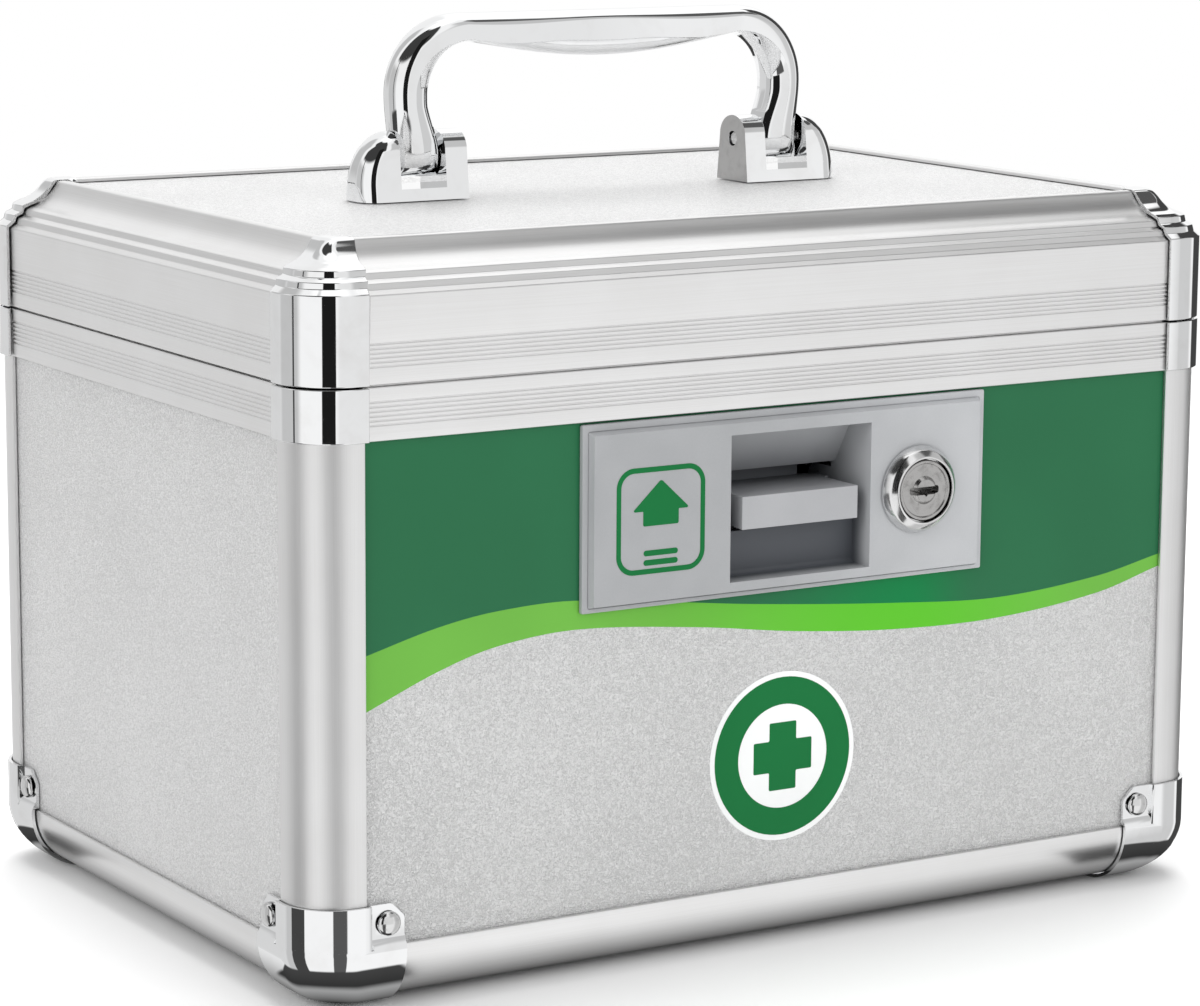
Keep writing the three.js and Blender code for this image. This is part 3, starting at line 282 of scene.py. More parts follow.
def makeFilm(name, base, look, vivid=None, glow=None):  # vivid is a second tone, along x
    finish = Finish(name, {"IOR": 1.46, "Specular IOR Level": look["specular"]})
    place = finish.spot()
    speck = finish.noise(place, look["speck"])
    patch = finish.noise(place, look["patch"], detail=1.0).eased(*look["contrast"])
    colour = finish.tint(patch, dimmed(base, 1 - look["fade"]), base)
    if vivid:
        along = finish.axis(place, "X")
        rise = along.eased(glow["from"] * mm, glow["full"] * mm)
        fall = along.eased(glow["full"] * mm, glow["to"] * mm)
        under = 1 - finish.axis(place, "Z").eased((glow["top"] - 1) * mm, glow["top"] * mm)
        colour = finish.tint(rise * (1 - fall) * under, colour, vivid)
    return finish.dressed(colour, look, speck, speck, 0.4)


limeGlow = {"from": -55, "full": 32, "to": 96, "top": 400}
tongueGlow = {"from": -14, "full": 34, "to": 55, "top": 84}

looks = {
    "panel": makePanel(panelLook),
    "satinX": makeSatin("drawn_aluminium_across", satinLook, 0),
    "satinY": makeSatin("drawn_aluminium_deep", satinLook, 1),
    "satinZ": makeSatin("drawn_aluminium_upright", postLook, 2),
    "chrome": makeChrome("mirror_chrome", chromeLook),
    "steel": makeChrome("zinc_plated_steel", steelLook),
    "rivet": makeChrome("nickel_rivet", rivetLook),
    "lock": makeChrome("satin_nickel", lockLook),
    "bezel": makeChrome("bezel_chrome", bezelLook),
    "cast": makeChrome("unpolished_casting", castLook),
    "moulding": makeMoulding("moulded_plastic", mouldingLook),
    "lever": makeMoulding("lever_plastic", leverLook),
    "green": makeFilm("dark_green_print", (0.021, 0.145, 0.061, 1), filmLook,
                      (0.002, 0.200, 0.055, 1), tongueGlow),
    "lime": makeFilm("lime_print", (0.155, 0.455, 0.060, 1), filmLook,
                     (0.106, 0.520, 0.023, 1), limeGlow),
    "white": makeFilm("white_print", (0.90, 0.91, 0.91, 1), filmLook),
    "badgeGreen": makeFilm("badge_green_print", (0.004, 0.162, 0.040, 1), filmLook),
}
print("finishes:", len(looks))


# Shapes, drawn in millimetres

roundStep = {"large": math.radians(6), "small": math.radians(22), "limit": 1.0}


def rounded(points):  # closed outline; a third number is the radius of that corner
    outline = []
    for index, point in enumerate(points):
        corner = Vector(point[:2])
        radius = point[2] if len(point) > 2 else 0
        if not radius:
            outline.append(tuple(corner))
            continue
        before = (Vector(points[index - 1][:2]) - corner).normalized()
        after = (Vector(points[(index + 1) % len(points)][:2]) - corner).normalized()
        half = before.angle(after) / 2
        centre = corner + (before + after).normalized() * (radius / math.sin(half))
        start = corner + before * (radius / math.tan(half)) - centre
        end = corner + after * (radius / math.tan(half)) - centre
        first = math.atan2(start.y, start.x)
        turn = math.atan2(end.y, end.x) - first
        turn = (turn + math.pi) % (2 * math.pi) - math.pi
        step = roundStep["large"] if radius > roundStep["limit"] else roundStep["small"]
        count = max(2, math.ceil(abs(turn) / step))
        for number in range(count + 1):
            angle = first + turn * number / count
            outline.append((centre.x + radius * math.cos(angle), centre.y + radius * math.sin(angle)))
    return outline


def frameOutline(left, right, bottom, top, radius):
    return rounded([(left, bottom, radius), (right, bottom, radius), (right, top, radius),
                    (left, top, radius)])


def arc(u, v, radius, steps, start=1.5, end=1):  # start and end are counted in half turns
    start, end = start * math.pi, end * math.pi
    angles = [start + (end - start) * number / steps for number in range(steps + 1)]
    return [(u + radius * math.cos(angle), v + radius * math.sin(angle)) for angle in angles]


def meshFrom(points, faces):
    mesh = bpy.data.meshes.new("shape")
    mesh.from_pydata([Vector(point) * mm for point in points], [], faces)
    work = bmesh.new()
    work.from_mesh(mesh)
    bmesh.ops.remove_doubles(work, verts=work.verts, dist=weldReach * mm)
    loose = [edge for edge in work.edges if not edge.link_faces]
    bmesh.ops.delete(work, geom=loose, context="EDGES")
    bmesh.ops.recalc_face_normals(work, faces=work.faces)
    work.to_mesh(mesh)
    work.free()
    return mesh


def loft(rings, closed=False):  # skins rings of equal count; closed joins the last to the first
    count = len(rings[0])
    faces = []
    for ring in range(len(rings) if closed else len(rings) - 1):
        low = ring * count
        high = (ring + 1) % len(rings) * count
        for i in range(count):
            after = (i + 1) % count
            faces.append((low + i, low + after, high + after, high + i))
    if not closed:
        faces.append(tuple(range(count)))
        faces.append(tuple(range((len(rings) - 1) * count, len(rings) * count)))
    return meshFrom([point for ring in rings for point in ring], faces)


def alongX(u, v, w):
    return (w, u, v)


def alongY(u, v, w):
    return (u, w, v)


def alongZ(u, v, w):
    return (u, v, w)


def prism(outline, low, high, place):
    return loft([[place(u, v, w) for u, v in outline] for w in (low, high)])


def block(x0, x1, y0, y1, z0, z1):
    return prism([(x0, y0), (x1, y0), (x1, y1), (x0, y1)], z0, z1, alongZ)


def turned(profile, u, v, place, steps):  # turns [radius, distance] pairs round an axis
    rings = []
    for number in range(steps):
        angle = 2 * math.pi * number / steps
        rings.append([
            place(u + radius * math.cos(angle), v + radius * math.sin(angle), along)
            for radius, along in profile
        ])
    return loft(rings, True)


def rod(radius, start, end, u, v, place, steps):
    return turned([(0, start), (radius, start), (radius, end), (0, end)], u, v, place, steps)


def domed(radius, base, rise, steps):  # half the profile of a rounded head, from its top outward
    angles = [quarter * number / steps for number in range(steps + 1)]
    return [(radius * math.sin(angle), base + rise * math.cos(angle)) for angle in angles]


def band(outer, inner, low, high, place):  # a flat ring between two outlines of equal count
    return loft([
        [place(*a, low), place(*b, low), place(*b, high), place(*a, high)]
        for a, b in zip(outer, inner)
    ], True)


def moved(mesh, matrix):
    copy = mesh.copy()
    copy.transform(matrix)
    if matrix.determinant() < 0:
        copy.flip_normals()
    return copy


def meshOf(work):
    mesh = bpy.data.meshes.new("shape")
    work.to_mesh(mesh)
    work.free()
    return mesh


def joined(*meshes):  # several separate bodies in one mesh
    work = bmesh.new()
    for mesh in meshes:
        work.from_mesh(mesh)
    return meshOf(work)


def placed(name, data):  # a new object in the scene
    thing = bpy.data.objects.new(name, data)
    bpy.context.scene.collection.objects.link(thing)
    return thing


def carved(base, *steps):  # each step is UNION, DIFFERENCE or INTERSECT with another mesh
    for operation, other in steps:
        work, tool = placed("work", base), placed("tool", other)
        change = work.modifiers.new("change", "BOOLEAN")
        change.operation = operation
        change.object = tool
        change.solver = "EXACT"
        bpy.context.view_layer.update()
        graph = bpy.context.evaluated_depsgraph_get()
        base = bpy.data.meshes.new_from_object(work.evaluated_get(graph))
        for thing in (work, tool):
            bpy.data.objects.remove(thing)
    return base


def tidied(mesh, flat=0.2):  # joins the flat faces, within an angle, that a cut left in pieces
    work = bmesh.new()
    work.from_mesh(mesh)
    bmesh.ops.remove_doubles(work, verts=work.verts, dist=weldReach * mm)
    bmesh.ops.dissolve_limit(work, angle_limit=math.radians(flat), verts=work.verts, edges=work.edges)
    return meshOf(work)


def newPiece(name, mesh, look, body, slot, stands=(), edge=0.0, steps=2, angle=40):
    if edge:
        mesh = tidied(mesh)
    mesh.materials.clear()
    mesh.materials.append(looks[look].material)
    mesh.polygons.foreach_set("use_smooth", [True] * len(mesh.polygons))
    if not edge:
        mesh.set_sharp_from_angle(angle=math.radians(angle))
    thing = placed(name, mesh)
    if edge:
        softenEdges(thing, edge, steps, angle)
    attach(thing, body)
    if stands:
        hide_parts(*stands)
    return thing


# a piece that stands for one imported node; soft is its edges' width, steps and least angle
def redrawn(node, word, mesh, look, body, slot, *soft):
    return newPiece(f"{node}_{word}", mesh, look, body, slot, [node], *soft)


def softenEdges(thing, edge, steps=2, angle=40):
    bevel = thing.modifiers.new("edges", "BEVEL")
    bevel.width = edge * mm
    bevel.segments = steps
    bevel.limit_method = "ANGLE"
    bevel.angle_limit = math.radians(angle)
    evened = thing.modifiers.new("normals", "WEIGHTED_NORMAL")
    evened.weight = 100


def paint(node, look, edge=0.0, weldSize=0.001):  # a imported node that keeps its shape
    thing = nodes[node]
    thing.data.materials.clear()
    thing.data.materials.append(looks[look].material)
    if edge:
        weld = thing.modifiers.new("weld", "WELD")
        weld.merge_threshold = weldSize * mm
        softenEdges(thing, edge)


# The case: sides and corners each have a frame of their own, with y (and x) pointing inward

case = {
    "halfX": -boxOf("left_rim_rail")[0].x,
    "halfY": -boxOf("front_rim_rail")[0].y,
    "foot": boxOf("front_bottom_rail")[0].z,
    "rimBottom": boxOf("front_rim_rail")[0].z,
    "bodyTop": boxOf("front_left_body_corner")[1].z,
    "lidBottom": boxOf("front_lid_rail")[0].z,
    "lidPanel": boxOf("lid_top_panel")[1].z,
    "gap": 0.3,
}
case["seam"] = (case["bodyTop"] + case["lidBottom"]) / 2
gap = case["gap"]
frontFace = -case["halfY"]
panelFace = boxOf("front_panel")[0].y

wide = {"half": case["halfX"], "out": case["halfY"], "satin": "satinX"}
deep = {"half": case["halfY"], "out": case["halfX"], "satin": "satinY"}
sides = [
    {"name": name, "turn": turn, **(deep if turn % 2 else wide)}
    for turn, name in enumerate(("front", "right", "rear", "left"))
]
corners = [
    {"name": name, "turn": turn, "x": x, "y": y}
    for turn, (name, x, y) in enumerate((
        ("front_left", -1, -1), ("front_right", 1, -1), ("rear_right", 1, 1), ("rear_left", -1, 1)))
]


def sideFrame(side):
    angle = side["turn"] * quarter
    centre = Vector((math.sin(angle), -math.cos(angle), 0)) * (side["out"] * mm)
    return Matrix.Translation(centre) @ Matrix.Rotation(angle, 4, "Z")


def cornerFrame(corner):
    edge = Vector((corner["x"] * case["halfX"], corner["y"] * case["halfY"], 0)) * mm
    return Matrix.Translation(edge) @ Matrix.Rotation(corner["turn"] * quarter, 4, "Z")


bar = {  # section of the posts and the bottom rails
    "wall": 5.4, "slotOuter": 0.9, "slotInner": 4.5, "slotStart": 9.6, "lip": 0.25, "inside": 0.8,
    "postReach": 13.7, "postRadius": 11.5, "railReach": 14.1, "railRadius": 13,
}


def barSection(reach, radius):
    wall, outer, inner, start, lip = pick(bar, "wall slotOuter slotInner slotStart lip")
    return rounded([
        (reach, 0, lip), (reach, outer, lip), (start, outer), (start, inner),
        (reach, inner, lip / 2), (reach, wall, lip), (wall, wall, bar["inside"]),
        (wall, reach, lip), (inner, reach, lip / 2), (inner, start), (outer, start),
        (outer, reach, lip), (0, reach, lip), (0, 0, radius),
    ])


def buildPosts():
    section = barSection(bar["postReach"], bar["postRadius"])
    for corner in corners:
        node = corner["name"] + "_post"
        low, high = boxOf(node)
        mesh = moved(prism(section, low.z, high.z, alongZ), cornerFrame(corner))
        redrawn(node, "drawn", mesh, "satinZ", "body", "frame")


def buildSideRails(word, section, short, body="body"):  # short gives a point's distance to the corner
    for side in sides:
        rings = [
            [(sign * (side["half"] - short(inset) - gap), inset, z) for inset, z in section]
            for sign in (-1, 1)
        ]
        mesh = moved(loft(rings), sideFrame(side))
        redrawn(f"{side['name']}_{word}_rail", "drawn", mesh, side["satin"], body, "frame")


def buildBottomRails():
    section = [(u, v + case["foot"]) for u, v in barSection(bar["railReach"], bar["railRadius"])]
    buildSideRails("bottom", section, lambda inset: bar["railReach"])


groove = {
    "half": 0.25, "depth": 0.25, "skew": -0.06, "soft": 0.05, "count": 6,
    "rimPitch": 0.98, "rimStart": 3.4, "lidPitch": 0.955, "lidStart": 4,
}


def grooves(lowest, pitch):
    points = []
    for number in range(groove["count"]):
        middle = lowest + number * pitch
        points += [
            (0, middle - groove["half"], groove["soft"]),
            (groove["depth"], middle + groove["skew"], groove["soft"]),
            (0, middle + groove["half"], groove["soft"]),
        ]
    return points


rim = {"tongueFront": 1.7, "tongueBack": 2.9, "tongueHeight": 3.5, "edge": 0.3, "slotHeight": 4.5}


def buildRimRails():
    low, top = case["rimBottom"], case["bodyTop"]
    front, back, edge = pick(rim, "tongueFront tongueBack edge")
    wall, outer, inner = pick(bar, "wall slotOuter slotInner")
    tongue, slot = top + rim["tongueHeight"], low + rim["slotHeight"]
    lowest = case["seam"] - groove["rimStart"] - (groove["count"] - 1) * groove["rimPitch"]
    section = rounded([
        (0, low, edge), *grooves(lowest, groove["rimPitch"]), (0, top, edge), (front, top),
        (front, tongue, edge), (back, tongue, edge), (back, top), (wall, top, edge), (wall, low, edge),
        (inner, low), (inner, slot), (outer, slot), (outer, low, edge / 2),
    ])
    buildSideRails("rim", section, lambda inset: bar["postReach"])


lidBar = {  # places are [inset, rise above the wall's top, radius]
    "wallTop": 154.9, "wall": 1.4, "width": 14, "cover": 1.9, "ledge": 3.5, "ledgeThickness": 1,
    "soft": 0.3,
    "steps": [(0, 0, 0.5), (1.35, 1.0, 0.45), (1.75, 2.3, 0.4), (3.25, 3.0, 0.4), (3.6, 4.35, 0.5),
              (4.7, 4.85, 0.6)],
    "coveStart": (5.1, 4.97), "coveBend": (8.3, 5.9), "coveEnd": (10.75, 10.1),
    "crest": [(11.2, 10.9, 0.8), (13.55, 10.85, 0.7), (14, 10.0)],
    "under": [(9.6, 5.4, 1), (6, 3.6), (3.6, 1.8, 1)], "bend": 1,
}


def curve(start, bend, end, count=14):
    points = []
    for number in range(count + 1):
        share = number / count
        rest = 1 - share
        points.append(tuple(
            rest * rest * a + 2 * rest * share * b + share * share * c
            for a, b, c in zip(start, bend, end)
        ))
    return points


def stepped(spec, top):  # the steps, the cove and the crest above the lid's wall
    points = spec["steps"] + curve(*pick(spec, "coveStart coveBend coveEnd")) + spec["crest"]
    return [(u, top + v, *radius) for u, v, *radius in points]


def buildLidRails():
    top, wall, width, soft = pick(lidBar, "wallTop wall width soft")
    low = case["lidBottom"]
    panelTop, panelLow = case["lidPanel"] + gap, boxOf("lid_top_panel")[0].z - gap
    slot, ledge = width - lidBar["cover"] - gap, width + lidBar["ledge"]
    outside = rounded([
        (0, low, soft), *grooves(case["seam"] + groove["lidStart"], groove["lidPitch"]),
        *stepped(lidBar, top), (slot, panelTop), (slot, panelLow), (ledge, panelLow, soft),
        (ledge, panelLow - lidBar["ledgeThickness"], soft),
        *[(u, top + v, *radius) for u, v, *radius in lidBar["under"]],
        (wall, top - wall / 2, lidBar["bend"]), (wall, low, soft),
    ])
    buildSideRails("lid", outside, lambda inset: max(bar["postRadius"], inset), "lid")


# Chrome corners

shell = {
    "proud": 1.1, "reach": 14.25, "capThickness": 0.8, "flare": 2.6, "crestRadius": 2.8,
    "turnSteps": 18, "edge": 0.34, "lidAngle": 55, "bodyAngle": 50, "slack": 0.1, "straight": 0.7,
    "steps": [(-1.1, 0.4, 0.5), (0.35, 1.65, 0.4), (0.7, 3.0, 0.35), (2.3, 3.8, 0.35), (2.6, 5.2, 0.4),
              (3.8, 5.8, 0.5)],
    "coveStart": (4.3, 5.95), "coveBend": (7.5, 7.0), "coveEnd": (9.4, 10.0),
    "crest": [(10.3, 11.2, 1.9), (14.2, 11.1, 1.0), (14.9, 10.2)],
    "inside": [(14.2, 10.1), (13.7, 10.75), (11.2, 10.8), (10.5, 10.1), (8.1, 6.2), (4.9, 5.25),
               (3.3, 4.6), (3.0, 3.3), (1.5, 2.6), (1.1, 1.2), (-0.3, 0.1)],
}
proud = shell["proud"]


def buildShells(mesh, word, body):
    soft = (shell["edge"], 2, shell[body + "Angle"])
    far = (shell["reach"] - shell["slack"]) * mm
    for corner in corners:
        place = cornerFrame(corner)
        back = place.inverted()
        piece = redrawn(f"{corner['name']}_{word}", "plated", moved(mesh, place), "chrome", body,
                        "chrome", *soft)
        piece.data.materials.append(looks["panel"].material)
        for face in piece.data.polygons:  # the ends of a corner's two arms take the second finish
            middle, aim = back @ face.center, back.to_3x3() @ face.normal
            if any(middle[axis] > far and aim[axis] > shell["straight"] for axis in (0, 1)):
                face.material_index = 1


def buildLidCorners():
    flare, least, turnSteps = pick(shell, "flare crestRadius turnSteps")
    top, low = lidBar["wallTop"], case["lidBottom"]
    outside = rounded([(-proud, low), *stepped(shell, top)])
    inside = [(u, top + v) for u, v in shell["inside"]] + [(-gap, low)]
    rise = shell["crest"][0][1]
    track = []
    for number, (inset, z) in enumerate(outside + inside):
        radius = max(bar["postRadius"] + gap - inset, least if number < len(outside) else least / 2)
        climb = min(max((z - top) / rise, 0), 1)
        end = max(shell["reach"] + flare * climb, inset + radius + gap)
        track.append((inset, z, radius, inset + radius, end))
    rings = [[(end, inset, z) for inset, z, radius, middle, end in track]]
    for step in range(turnSteps + 1):
        angle = (1.5 - 0.5 * step / turnSteps) * math.pi
        rings.append([
            (middle + radius * math.cos(angle), middle + radius * math.sin(angle), z)
            for inset, z, radius, middle, end in track
        ])
    rings.append([(inset, end, z) for inset, z, radius, middle, end in track])
    buildShells(loft(rings), "lid_corner", "lid")


def shellPlan(width, outer, inner):
    radius, count = bar["postRadius"], shell["turnSteps"]
    return [
        (width, inner), (width, outer), *arc(radius, radius, radius - outer, count),
        (outer, width), (inner, width), *arc(radius, radius, radius - inner, count, 1, 1.5),
    ]


def buildBodyCorners():
    wall, reach, radius = pick(bar, "wall postReach postRadius")
    top = case["bodyTop"]
    tube = prism(shellPlan(shell["reach"], -proud, -gap), case["rimBottom"], top, alongZ)
    capPlan = [
        (reach, -proud), (reach, wall), (wall, wall), (wall, reach), (-proud, reach),
        *arc(radius, radius, radius + proud, shell["turnSteps"], 1, 1.5),
    ]
    mesh = carved(tube, ("UNION", prism(capPlan, top - shell["capThickness"], top, alongZ)))
    buildShells(mesh, "body_corner", "body")


foot = {
    "chamfer": (0.65, 0.5), "facet": (0.35, 0.45), "stepDrop": 0.5, "stepRise": 1.9, "ledgeRoot": 1,
    "arm": 22.7,
    "height": 24.5, "skirt": 15.4, "ball": 8, "riser": 0.5, "plateProud": 0.8, "plateCorner": 1.4,
    "clip": 3.1, "edge": (0.42, 3), "steps": 16, "rivetInset": 18.7, "rivetHeight": 20.2, "brim": 0.3,
    "rivetHead": 2.75, "rivetRise": 1.5, "rivetShank": 1.2, "rivetTail": 2, "tailLength": 1,
}


def footBlock():
    steps, arm = foot["steps"], foot["arm"]
    upright, under = bar["postRadius"] + proud, bar["railRadius"] + proud
    rings = []
    for number in range(steps + 2):
        angle = quarter * min(number, steps) / steps
        inset = under * (1 - math.sin(angle))
        height = under * (1 - math.cos(angle)) if number <= steps else foot["height"]
        edge = inset - proud
        radius = upright - (upright - foot["ball"]) * inset / under
        ring = [(arm, edge), *arc(edge + radius, edge + radius, radius, steps), (edge, arm), (arm, arm)]
        rings.append([(u, v, height) for u, v in ring])
    return loft(rings)


def footLeg():
    arm, skirt, height, drop, clip, corner = pick(foot, "arm skirt height stepDrop clip plateCorner")
    radius, low = bar["railRadius"], case["foot"]
    slopeLow, slopeHigh = skirt - drop, skirt + foot["stepRise"]
    root = slopeLow - foot["ledgeRoot"]
    plan = [
        (-proud - past, -past), (arm, -past), (arm, low - gap), (radius, low - gap),
        *arc(radius, low + radius, radius + gap, foot["steps"])[1:],
        (-gap, slopeLow), (-proud - past, slopeLow),
    ]
    back = panelFace - frontFace - gap
    start = bar["postReach"] + gap
    rail = low + bar["railReach"] + gap
    face = rounded([
        (start, rail), (arm, rail), (arm, height - clip, corner), (arm - clip, height, corner),
        (start, height),
    ])
    fold = back - foot["plateProud"]
    deep, tall = foot["facet"]
    slope = [
        (-proud, root), (-proud, slopeLow), (fold - deep, slopeHigh - tall), (fold, slopeHigh),
        (back, slopeHigh), (back, rail), (-gap, rail), (-gap, root),
    ]
    hole = rod(foot["rivetShank"] + gap, -past, back + past,
               foot["rivetInset"], foot["rivetHeight"], alongY, 24)
    return carved(
        prism(plan, bar["railReach"], arm, alongX),
        ("UNION", prism(face, fold, back, alongY)),
        ("UNION", block(start, start + foot["riser"], -proud, back, rail, height)),
        ("UNION", prism(slope, start, arm, alongX)),
        ("DIFFERENCE", hole),
    )


def buildFeet():
    height, drop, skirt, (across, deep) = pick(foot, "height stepDrop skirt chamfer")
    reach = bar["railReach"]
    core = block(-proud, reach, -proud, reach, 0, case["foot"] + reach)
    width = bar["postReach"] + gap + foot["riser"]
    around = prism(shellPlan(width, -proud, -gap), reach, height, alongZ)
    leg = footLeg()
    swap = Matrix(((0, 1, 0, 0), (1, 0, 0, 0), (0, 0, 1, 0), (0, 0, 0, 1)))
    wedge = prism([
        (width - across, -proud), (width, deep - proud), (width + gap, deep - proud),
        (width + gap, -proud - past), (width - across, -proud - past),
    ], skirt - drop, height + past, alongZ)
    whole = carved(core, ("UNION", around), ("UNION", leg), ("UNION", moved(leg, swap)),
                   ("DIFFERENCE", wedge), ("DIFFERENCE", moved(wedge, swap)))
    mesh = carved(footBlock(), ("INTERSECT", whole))
    for corner in corners:
        redrawn(corner["name"] + "_bottom_corner", "plated", moved(mesh, cornerFrame(corner)),
                "chrome", "body", "chrome", *foot["edge"])


def buildRivets():
    head, rise, brim, shank, tail = pick(foot, "rivetHead rivetRise brim rivetShank rivetTail")
    recess = panelFace - frontFace
    seat = recess - 2 * gap - foot["plateProud"]
    inner = recess + boxOf("front_panel")[1].y - panelFace + gap
    end = inner + foot["tailLength"]
    profile = domed(head, seat - brim, brim - rise, 10) + [
        (head, seat), (shank, seat), (shank, inner), (tail, inner), (tail, end), (0, end),
    ]
    for side in sides:
        for word, sign in (("left", -1), ("right", 1)):
            place = sign * (side["half"] - foot["rivetInset"])
            mesh = moved(turned(profile, place, foot["rivetHeight"], alongY, 36), sideFrame(side))
            redrawn(f"{side['name']}_rivet_{word}", "domed", mesh, "rivet", "body", "rivet")


buildPosts()
buildBottomRails()
buildRimRails()
buildLidRails()
print("frame: posts and rails")
buildLidCorners()
buildBodyCorners()
buildFeet()
buildRivets()
print("chrome corners and rivets")


# Lock plate: a stepped flange, the recess, and behind it the housing with its two spring seats

plateLow, plateHigh = boxOf("lock_plate")
plate = {
    "flange": 1.5, "lip": 1.6, "lipTop": 1.7, "lipLow": 0.7, "rise": 0.45, "round": 0.3, "corner": 0.4,
    "scribe": 0.25, "inset": 0.7, "recessCentre": 2.2, "recessWidth": 37.4, "recessDrop": 4.9,
    "recessHeight": 32.9, "recessRound": 1.2, "wall": 1.6, "pocketDepth": 7, "pocketHeight": 10,
    "hoodDepth": 7.7, "hoodSlope": 6.5, "hoodHeight": 10.7, "lockX": 33.8, "lockDrop": 21,
    "barrel": 8, "edge": (0.38, 3, 30), "pivotDepth": 21, "pivotDrop": 17.4, "cheek": 5.1, "pin": 1,
    "latchSeat": 16, "liftSeat": 14, "seatThickness": 2,
}
plate["left"] = plate["recessCentre"] - plate["recessWidth"] / 2
plate["right"] = plate["recessCentre"] + plate["recessWidth"] / 2
plate["top"] = plateHigh.z - plate["recessDrop"]
plate["bottom"] = plate["top"] - plate["recessHeight"]
plate["face"] = plateLow.y
plate["back"] = panelFace - gap
plate["lockZ"] = plateHigh.z - plate["lockDrop"]


def buildLockPlate():
    face, back, wall, left, right, top, bottom = pick(plate, "face back wall left right top bottom")
    lip, lipTop, rise, soft, scribe, corner = pick(plate, "lip lipTop rise round scribe corner")

    def ring(side, above, y):
        start, end = plateLow.x + plate["inset"] + side, plateHigh.x - side
        low, high = plateLow.z + side * plate["lipLow"], plateHigh.z - above
        return [(u, y, v) for u, v in frameOutline(start, end, low, high, corner)]

    shelf = face + plate["flange"]
    flange = loft([ring(*spot) for spot in (
        (0, 0, back), (0, 0, shelf + soft), (soft / 3, soft / 3, shelf + soft / 3), (soft, soft, shelf),
        (lip - scribe, lipTop - scribe, shelf), (lip - scribe / 2, lipTop - scribe / 2, shelf + scribe),
        (lip, lipTop, shelf), (lip + rise, lipTop + rise, face + soft),
        (lip + rise + soft / 3, lipTop + rise + soft / 3, face + soft / 4),
        (lip + rise + soft, lipTop + rise + soft, face),
    )])
    pocket, hoodTop = face + plate["pocketDepth"], face + plate["hoodDepth"]
    hoodBack = hoodTop + plate["hoodSlope"]
    pocketTop, hoodBottom = bottom + plate["pocketHeight"], top - plate["hoodHeight"]
    housing = [
        (back - past, bottom - wall), (pocket + wall, bottom - wall), (pocket + wall, pocketTop),
        (hoodBack + wall, pocketTop), (hoodBack + wall, hoodBottom), (hoodTop + wall, top),
        (hoodTop + wall, top + wall), (back - past, top + wall),
    ]
    recess = rounded([
        (face - past, bottom), (pocket, bottom, plate["recessRound"]), (pocket, pocketTop),
        (hoodBack + wall + past, pocketTop), (hoodBack + wall + past, hoodBottom),
        (hoodBack, hoodBottom), (hoodTop, top, plate["recessRound"]), (face - past, top),
    ])
    pivotY, pivotZ = face + plate["pivotDepth"], top - plate["pivotDrop"]
    cheek = [
        (pocket, pivotZ - plate["cheek"]), *arc(pivotY, pivotZ, plate["cheek"], 16, -0.5, 0.5),
        (pocket, pivotZ + plate["cheek"]),
    ]
    springLow, springHigh = boxOf("latch_spring")
    seatBack, latchTop = springHigh.y + wall, springLow.z - gap
    low, high = left - wall, right + wall

    def seat(width, front, rear, bottom, top):
        centre = plate["recessCentre"]
        return block(centre - width / 2, centre + width / 2, front, rear, bottom, top)

    mesh = carved(
        flange,
        ("UNION", prism(housing, low, high, alongX)),
        ("UNION", prism(cheek, low, high, alongX)),
        ("DIFFERENCE", prism(recess, left, right, alongX)),
        ("DIFFERENCE", block(left, right, pocket, seatBack, pocketTop, hoodBottom)),
        ("DIFFERENCE", rod(plate["barrel"] + gap, face - past, back + past,
                           plate["lockX"], plate["lockZ"], alongY, 64)),
        ("DIFFERENCE", rod(plate["pin"] + gap, low - past, high + past, pivotY, pivotZ, alongX, 24)),
        ("UNION", seat(plate["latchSeat"], pocket + wall / 2, seatBack,
                       latchTop - plate["seatThickness"], latchTop)),
        ("UNION", seat(plate["liftSeat"], hoodTop, boxOf("lift_spring")[1].y, top, top + wall)),
    )
    redrawn("lock_plate", "moulded", mesh, "moulding", "body", "moulding", *plate["edge"])


lever = {"right": 17.9, "top": 106, "edge": (0.45, 3, 30)}


def buildLever():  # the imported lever, with the right end of its bar cut back
    low = boxOf("latch_lever")[0]
    back = plate["face"] + plate["hoodDepth"] + plate["hoodSlope"]
    spare = block(lever["right"], plate["right"] + past, low.y - past, back, low.z - past, lever["top"])
    mesh = carved(tidied(nodes["latch_lever"].data), ("DIFFERENCE", spare))
    redrawn("latch_lever", "moulded", mesh, "lever", "latch", "moulding", *lever["edge"])


buildLockPlate()
buildLever()
print("lock plate and lever")


# Cam lock

lock = {  # bezel and plug are half sections, in radius and depth
    "bezel": [(7.25, -87.5), (7.3, -88.3, 0.15), (7.75, -88.25, 0.4), (9.1, -87.2, 1.6),
              (10, -85.5, 0.6), (10, -85.1), (8, -85.1), (8, -61.5), (5.8, -61.5), (5.8, -84.9),
              (7.25, -84.9)],
    "plug": [(0, -88.3), (2.55, -88.3, 0.3), (3.2, -87.45, 0.3), (6.0, -87.45, 0.15),
             (6.2, -87.85, 0.15), (6.75, -87.85, 0.15), (6.95, -87.5), (6.95, -85.2), (5.5, -85.2),
             (5.5, -61.5), (0, -61.5)],
    "slot": (8, 1.8), "slotRound": 0.6, "slotDepth": 5, "square": 5, "squareLength": 4, "wards": 0.5,
    "edge": 0.12, "camEdge": 0.15, "nutEdge": 0.2, "steps": 72,
}


